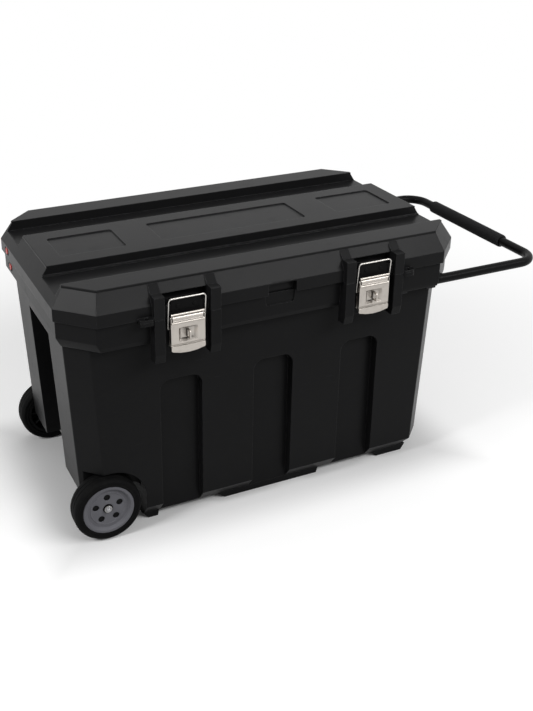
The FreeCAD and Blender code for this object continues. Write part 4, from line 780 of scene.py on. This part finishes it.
def press_lever(piece):
    plate = max((face for face in piece.data.polygons if face.normal.y < -0.99), key=lambda face: face.area)
    front = plate.center.y
    middle = round(sum(vertex.co.x for vertex in piece.data.vertices) / len(piece.data.vertices), 3)
    faces_where(piece, lambda centre, normal: abs(normal.y) > 0.99 and centre.y > front + 1.5 * MM
                and abs(centre.x - middle) < PAN_REACH.x and abs(centre.z - PAN_Z) < PAN_REACH.y)
    bpy.ops.transform.translate(value=(0.0, PAN_BACK, 0.0))
    bpy.ops.transform.resize(value=(PAN_TAPER, 1.0, PAN_TAPER), center_override=(middle, front, PAN_Z))
    for height in GROOVE:
        bpy.ops.mesh.select_all(action="SELECT")
        bpy.ops.mesh.bisect(plane_co=(0.0, 0.0, height), plane_no=(0.0, 0.0, 1.0))
    for high, low, way in ((GROOVE[1], GROOVE[2], GROOVE_BACK), (GROOVE[3], 0.0, LIP_OUT)):
        faces_where(piece, lambda centre, normal: normal.y < -0.99 and abs(centre.y - front) < 0.2 * MM
                    and low < centre.z < high)
        bpy.ops.transform.translate(value=(0.0, way, 0.0))
    deselect()


# %% [markdown]
# ## Merged copies
# The big mouldings and the pressed steel keep their CAD shape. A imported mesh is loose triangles, so a copy is
# merged and its flat regions made single faces again. Big flat walls beside small bends would otherwise pick
# up soft wedges of shade, so the normals are weighted by face size. Sheet steel has a small radius on every
# edge, which a bevel gives.

# %% Copies of CAD pieces
PRESSED = ("latch_lever", "keeper", "latch_base", "padlock")


def merged_copy(name, bevel):
    piece = bpy.data.objects.new(name + "_finished", node[name].data.copy())
    bpy.context.scene.collection.objects.link(piece)
    edit(piece)
    bpy.ops.mesh.remove_doubles(threshold=0.01 * MM)
    bpy.ops.mesh.dissolve_limited(angle_limit=math.radians(0.5))
    bpy.ops.object.mode_set(mode="OBJECT")
    if name.startswith("latch_lever"):
        press_lever(piece)
    if bevel:
        soften(piece, bevel, 45)
    smooth(piece, 26)
    apply_modifier(piece, "WEIGHTED_NORMAL", mode="FACE_AREA", keep_sharp=True, weight=80)
    hand_over(piece, name)


done = {name for piece in bpy.data.objects for name in piece.get("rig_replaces", [])}
for name in sorted(set(node) - done):
    merged_copy(name, 0.3 if name.startswith(PRESSED) else 0.0)
print("merged copies:", len(node) - len(done))

# %% [markdown]
# ## Floor
# The box stands on pale studio paper. Close by, the paper is lit and shadowed, and further off it turns into
# plain white. It is white only to what looks at it directly, the camera or a shiny surface, and a middling
# grey to light that only spreads, so that it doesn't light the box from below.

# %% Paper floor
SPREAD_TONE, PAPER_TONE = 0.45, 0.93
deselect()
bpy.ops.mesh.primitive_plane_add(size=40.0, location=(0.0, 0.0, -0.5 * MM))
floor = bpy.context.object
floor.name = "studio_floor"
paper = Finish("studio paper", {"Specular IOR Level": 0.1, "Emission Strength": 1.0})
seen = paper.seen_directly()
tint = paper.blend_colour(seen, grey(SPREAD_TONE, 1.0), grey(PAPER_TONE, 1.0))
floor.data.materials.append(paper.surface(tint, 0.85 + paper.noise(3.0) * 0.05))
print("floor:", round(floor.dimensions.x, 1), "m square")

# %% [markdown]
# The paper also glows a little, which lifts it to white beside the box, but not under the box, where it would
# show in the wheel arches. A Mix Shader then fades it into a plain white further off, so that no horizon and
# no far shadow are seen.

# %% Glow of the paper, and its fade to white
BLACK = (0, 0, 0, 1)
GLOW_TONE = 0.30
FOOTPRINT_X, FOOTPRINT_Y, GLOW_EDGE = 430.0 * MM, 220.0 * MM, 150.0 * MM
WHITE_FROM, WHITE_FULL = 0.75, 1.7
off_x, off_y = [abs(paper.node("SeparateXYZ", sockets={"Vector": paper.place}, out=axis)) for axis in "XY"]
outside = (off_x - FOOTPRINT_X).at_least(off_y - FOOTPRINT_Y)
glow = paper.blend_colour(seen * paper.between(outside, 0.0, GLOW_EDGE), BLACK, grey(GLOW_TONE, 1.0))
connect(paper.tree, glow, paper.shader.inputs["Emission Color"])
away = paper.node("VectorMath", {"operation": "LENGTH"}, {"Vector": paper.place}, "Value")
far = paper.between(away, WHITE_FROM, WHITE_FULL) * seen
lit = Wire(paper.tree, paper.shader.outputs[0])
faded = paper.node("MixShader", sockets={0: far, 1: lit, 2: paper.node("Emission")})
connect(paper.tree, faded, paper.tree.nodes["Material Output"].inputs["Surface"])
print("plain white beyond", WHITE_FULL, "m")

# %% [markdown]
# ## Room
# The room is white wherever it is seen, also in the steel's reflections, but its light on the box is only a
# quarter of that, so that a black moulding stays black.

# %% White room
WHITE = (1, 1, 1, 1)
ROOM_LIGHT = 0.25
world = bpy.data.worlds.new("studio room")
bpy.context.scene.world = world
world.use_nodes = True
room = Tree(world.node_tree)
dim = room.tree.nodes["Background"]
dim.inputs["Color"].default_value = WHITE
dim.inputs["Strength"].default_value = ROOM_LIGHT
lit = Wire(room.tree, dim.outputs[0])
shown = room.node("Background", sockets={"Color": WHITE, "Strength": 1.0})
either = room.node("MixShader", sockets={0: room.seen_directly(), 1: lit, 2: shown})
connect(room.tree, either, room.tree.nodes["World Output"].inputs["Surface"])
print("room light:", ROOM_LIGHT)


# %% [markdown]
# ## Lamps
# A black box shows its form only in reflections. A small lamp high on the left is mirrored by the chamfers on
# that side, a wide one in front and above by the lid's bevel, and a weak one overhead fills the rest.

# %% Soft lamps
def soft_lamp(name, towards, distance, width, height, power):
    """Lamp of width by height, seen from the box in the direction towards, so many metres off."""
    deselect()
    middle = Vector((0.0, 0.0, 0.4))
    way = Vector(towards).normalized()
    bpy.ops.object.light_add(type="AREA", location=middle + way * distance)
    lamp = bpy.context.object
    lamp.name = name
    lamp.data.shape = "RECTANGLE"
    lamp.data.size = width
    lamp.data.size_y = height
    lamp.data.energy = power
    lamp.rotation_euler = (-way).to_track_quat("-Z", "Y").to_euler()
    print("lamp", name, power, "W")


soft_lamp("left", (-0.83, -0.21, 0.52), 2.75, 0.7, 0.7, 28)
soft_lamp("front", (0.38, -0.71, 0.58), 3.0, 2.6, 0.7, 50)
soft_lamp("overhead", (0.05, 0.3, 0.95), 2.8, 2.0, 2.0, 9)
bpy.context.scene.view_settings.view_transform = "Standard"

# %% [markdown]
# ## Camera
# The box is seen from its front left corner and from above. The focal length is known in pixels, so the lens
# in millimetres follows from the picture's height. The shift moves the picture without turning the camera,
# so that upright edges keep their slant.

# %% Camera
FRAME_WIDTH, FRAME_HEIGHT = 533, 711
CENTRE_X, CENTRE_Y = 227.1, 295.4
FOCAL_PIXELS = 1008.7
SENSOR = 36.0
camera_data = bpy.data.cameras.new("studio camera")
camera = bpy.data.objects.new("studio camera", camera_data)
bpy.context.scene.collection.objects.link(camera)
bpy.context.scene.camera = camera
camera_data.sensor_width = SENSOR
camera_data.lens = FOCAL_PIXELS * SENSOR / FRAME_HEIGHT
camera_data.shift_x = (FRAME_WIDTH / 2 - CENTRE_X) / FRAME_HEIGHT
camera_data.shift_y = -(FRAME_HEIGHT / 2 - CENTRE_Y) / FRAME_HEIGHT
turn = math.radians(24.7)
tilt = math.radians(24.2)
gaze = Vector((math.sin(turn) * math.cos(tilt), math.cos(turn) * math.cos(tilt), -math.sin(tilt)))
camera.location = (-0.9010, -1.9629, 1.3755)
camera.rotation_euler = gaze.to_track_quat("-Z", "Y").to_euler()
print("lens:", round(camera_data.lens, 2), "turn:", round(math.degrees(turn), 1))
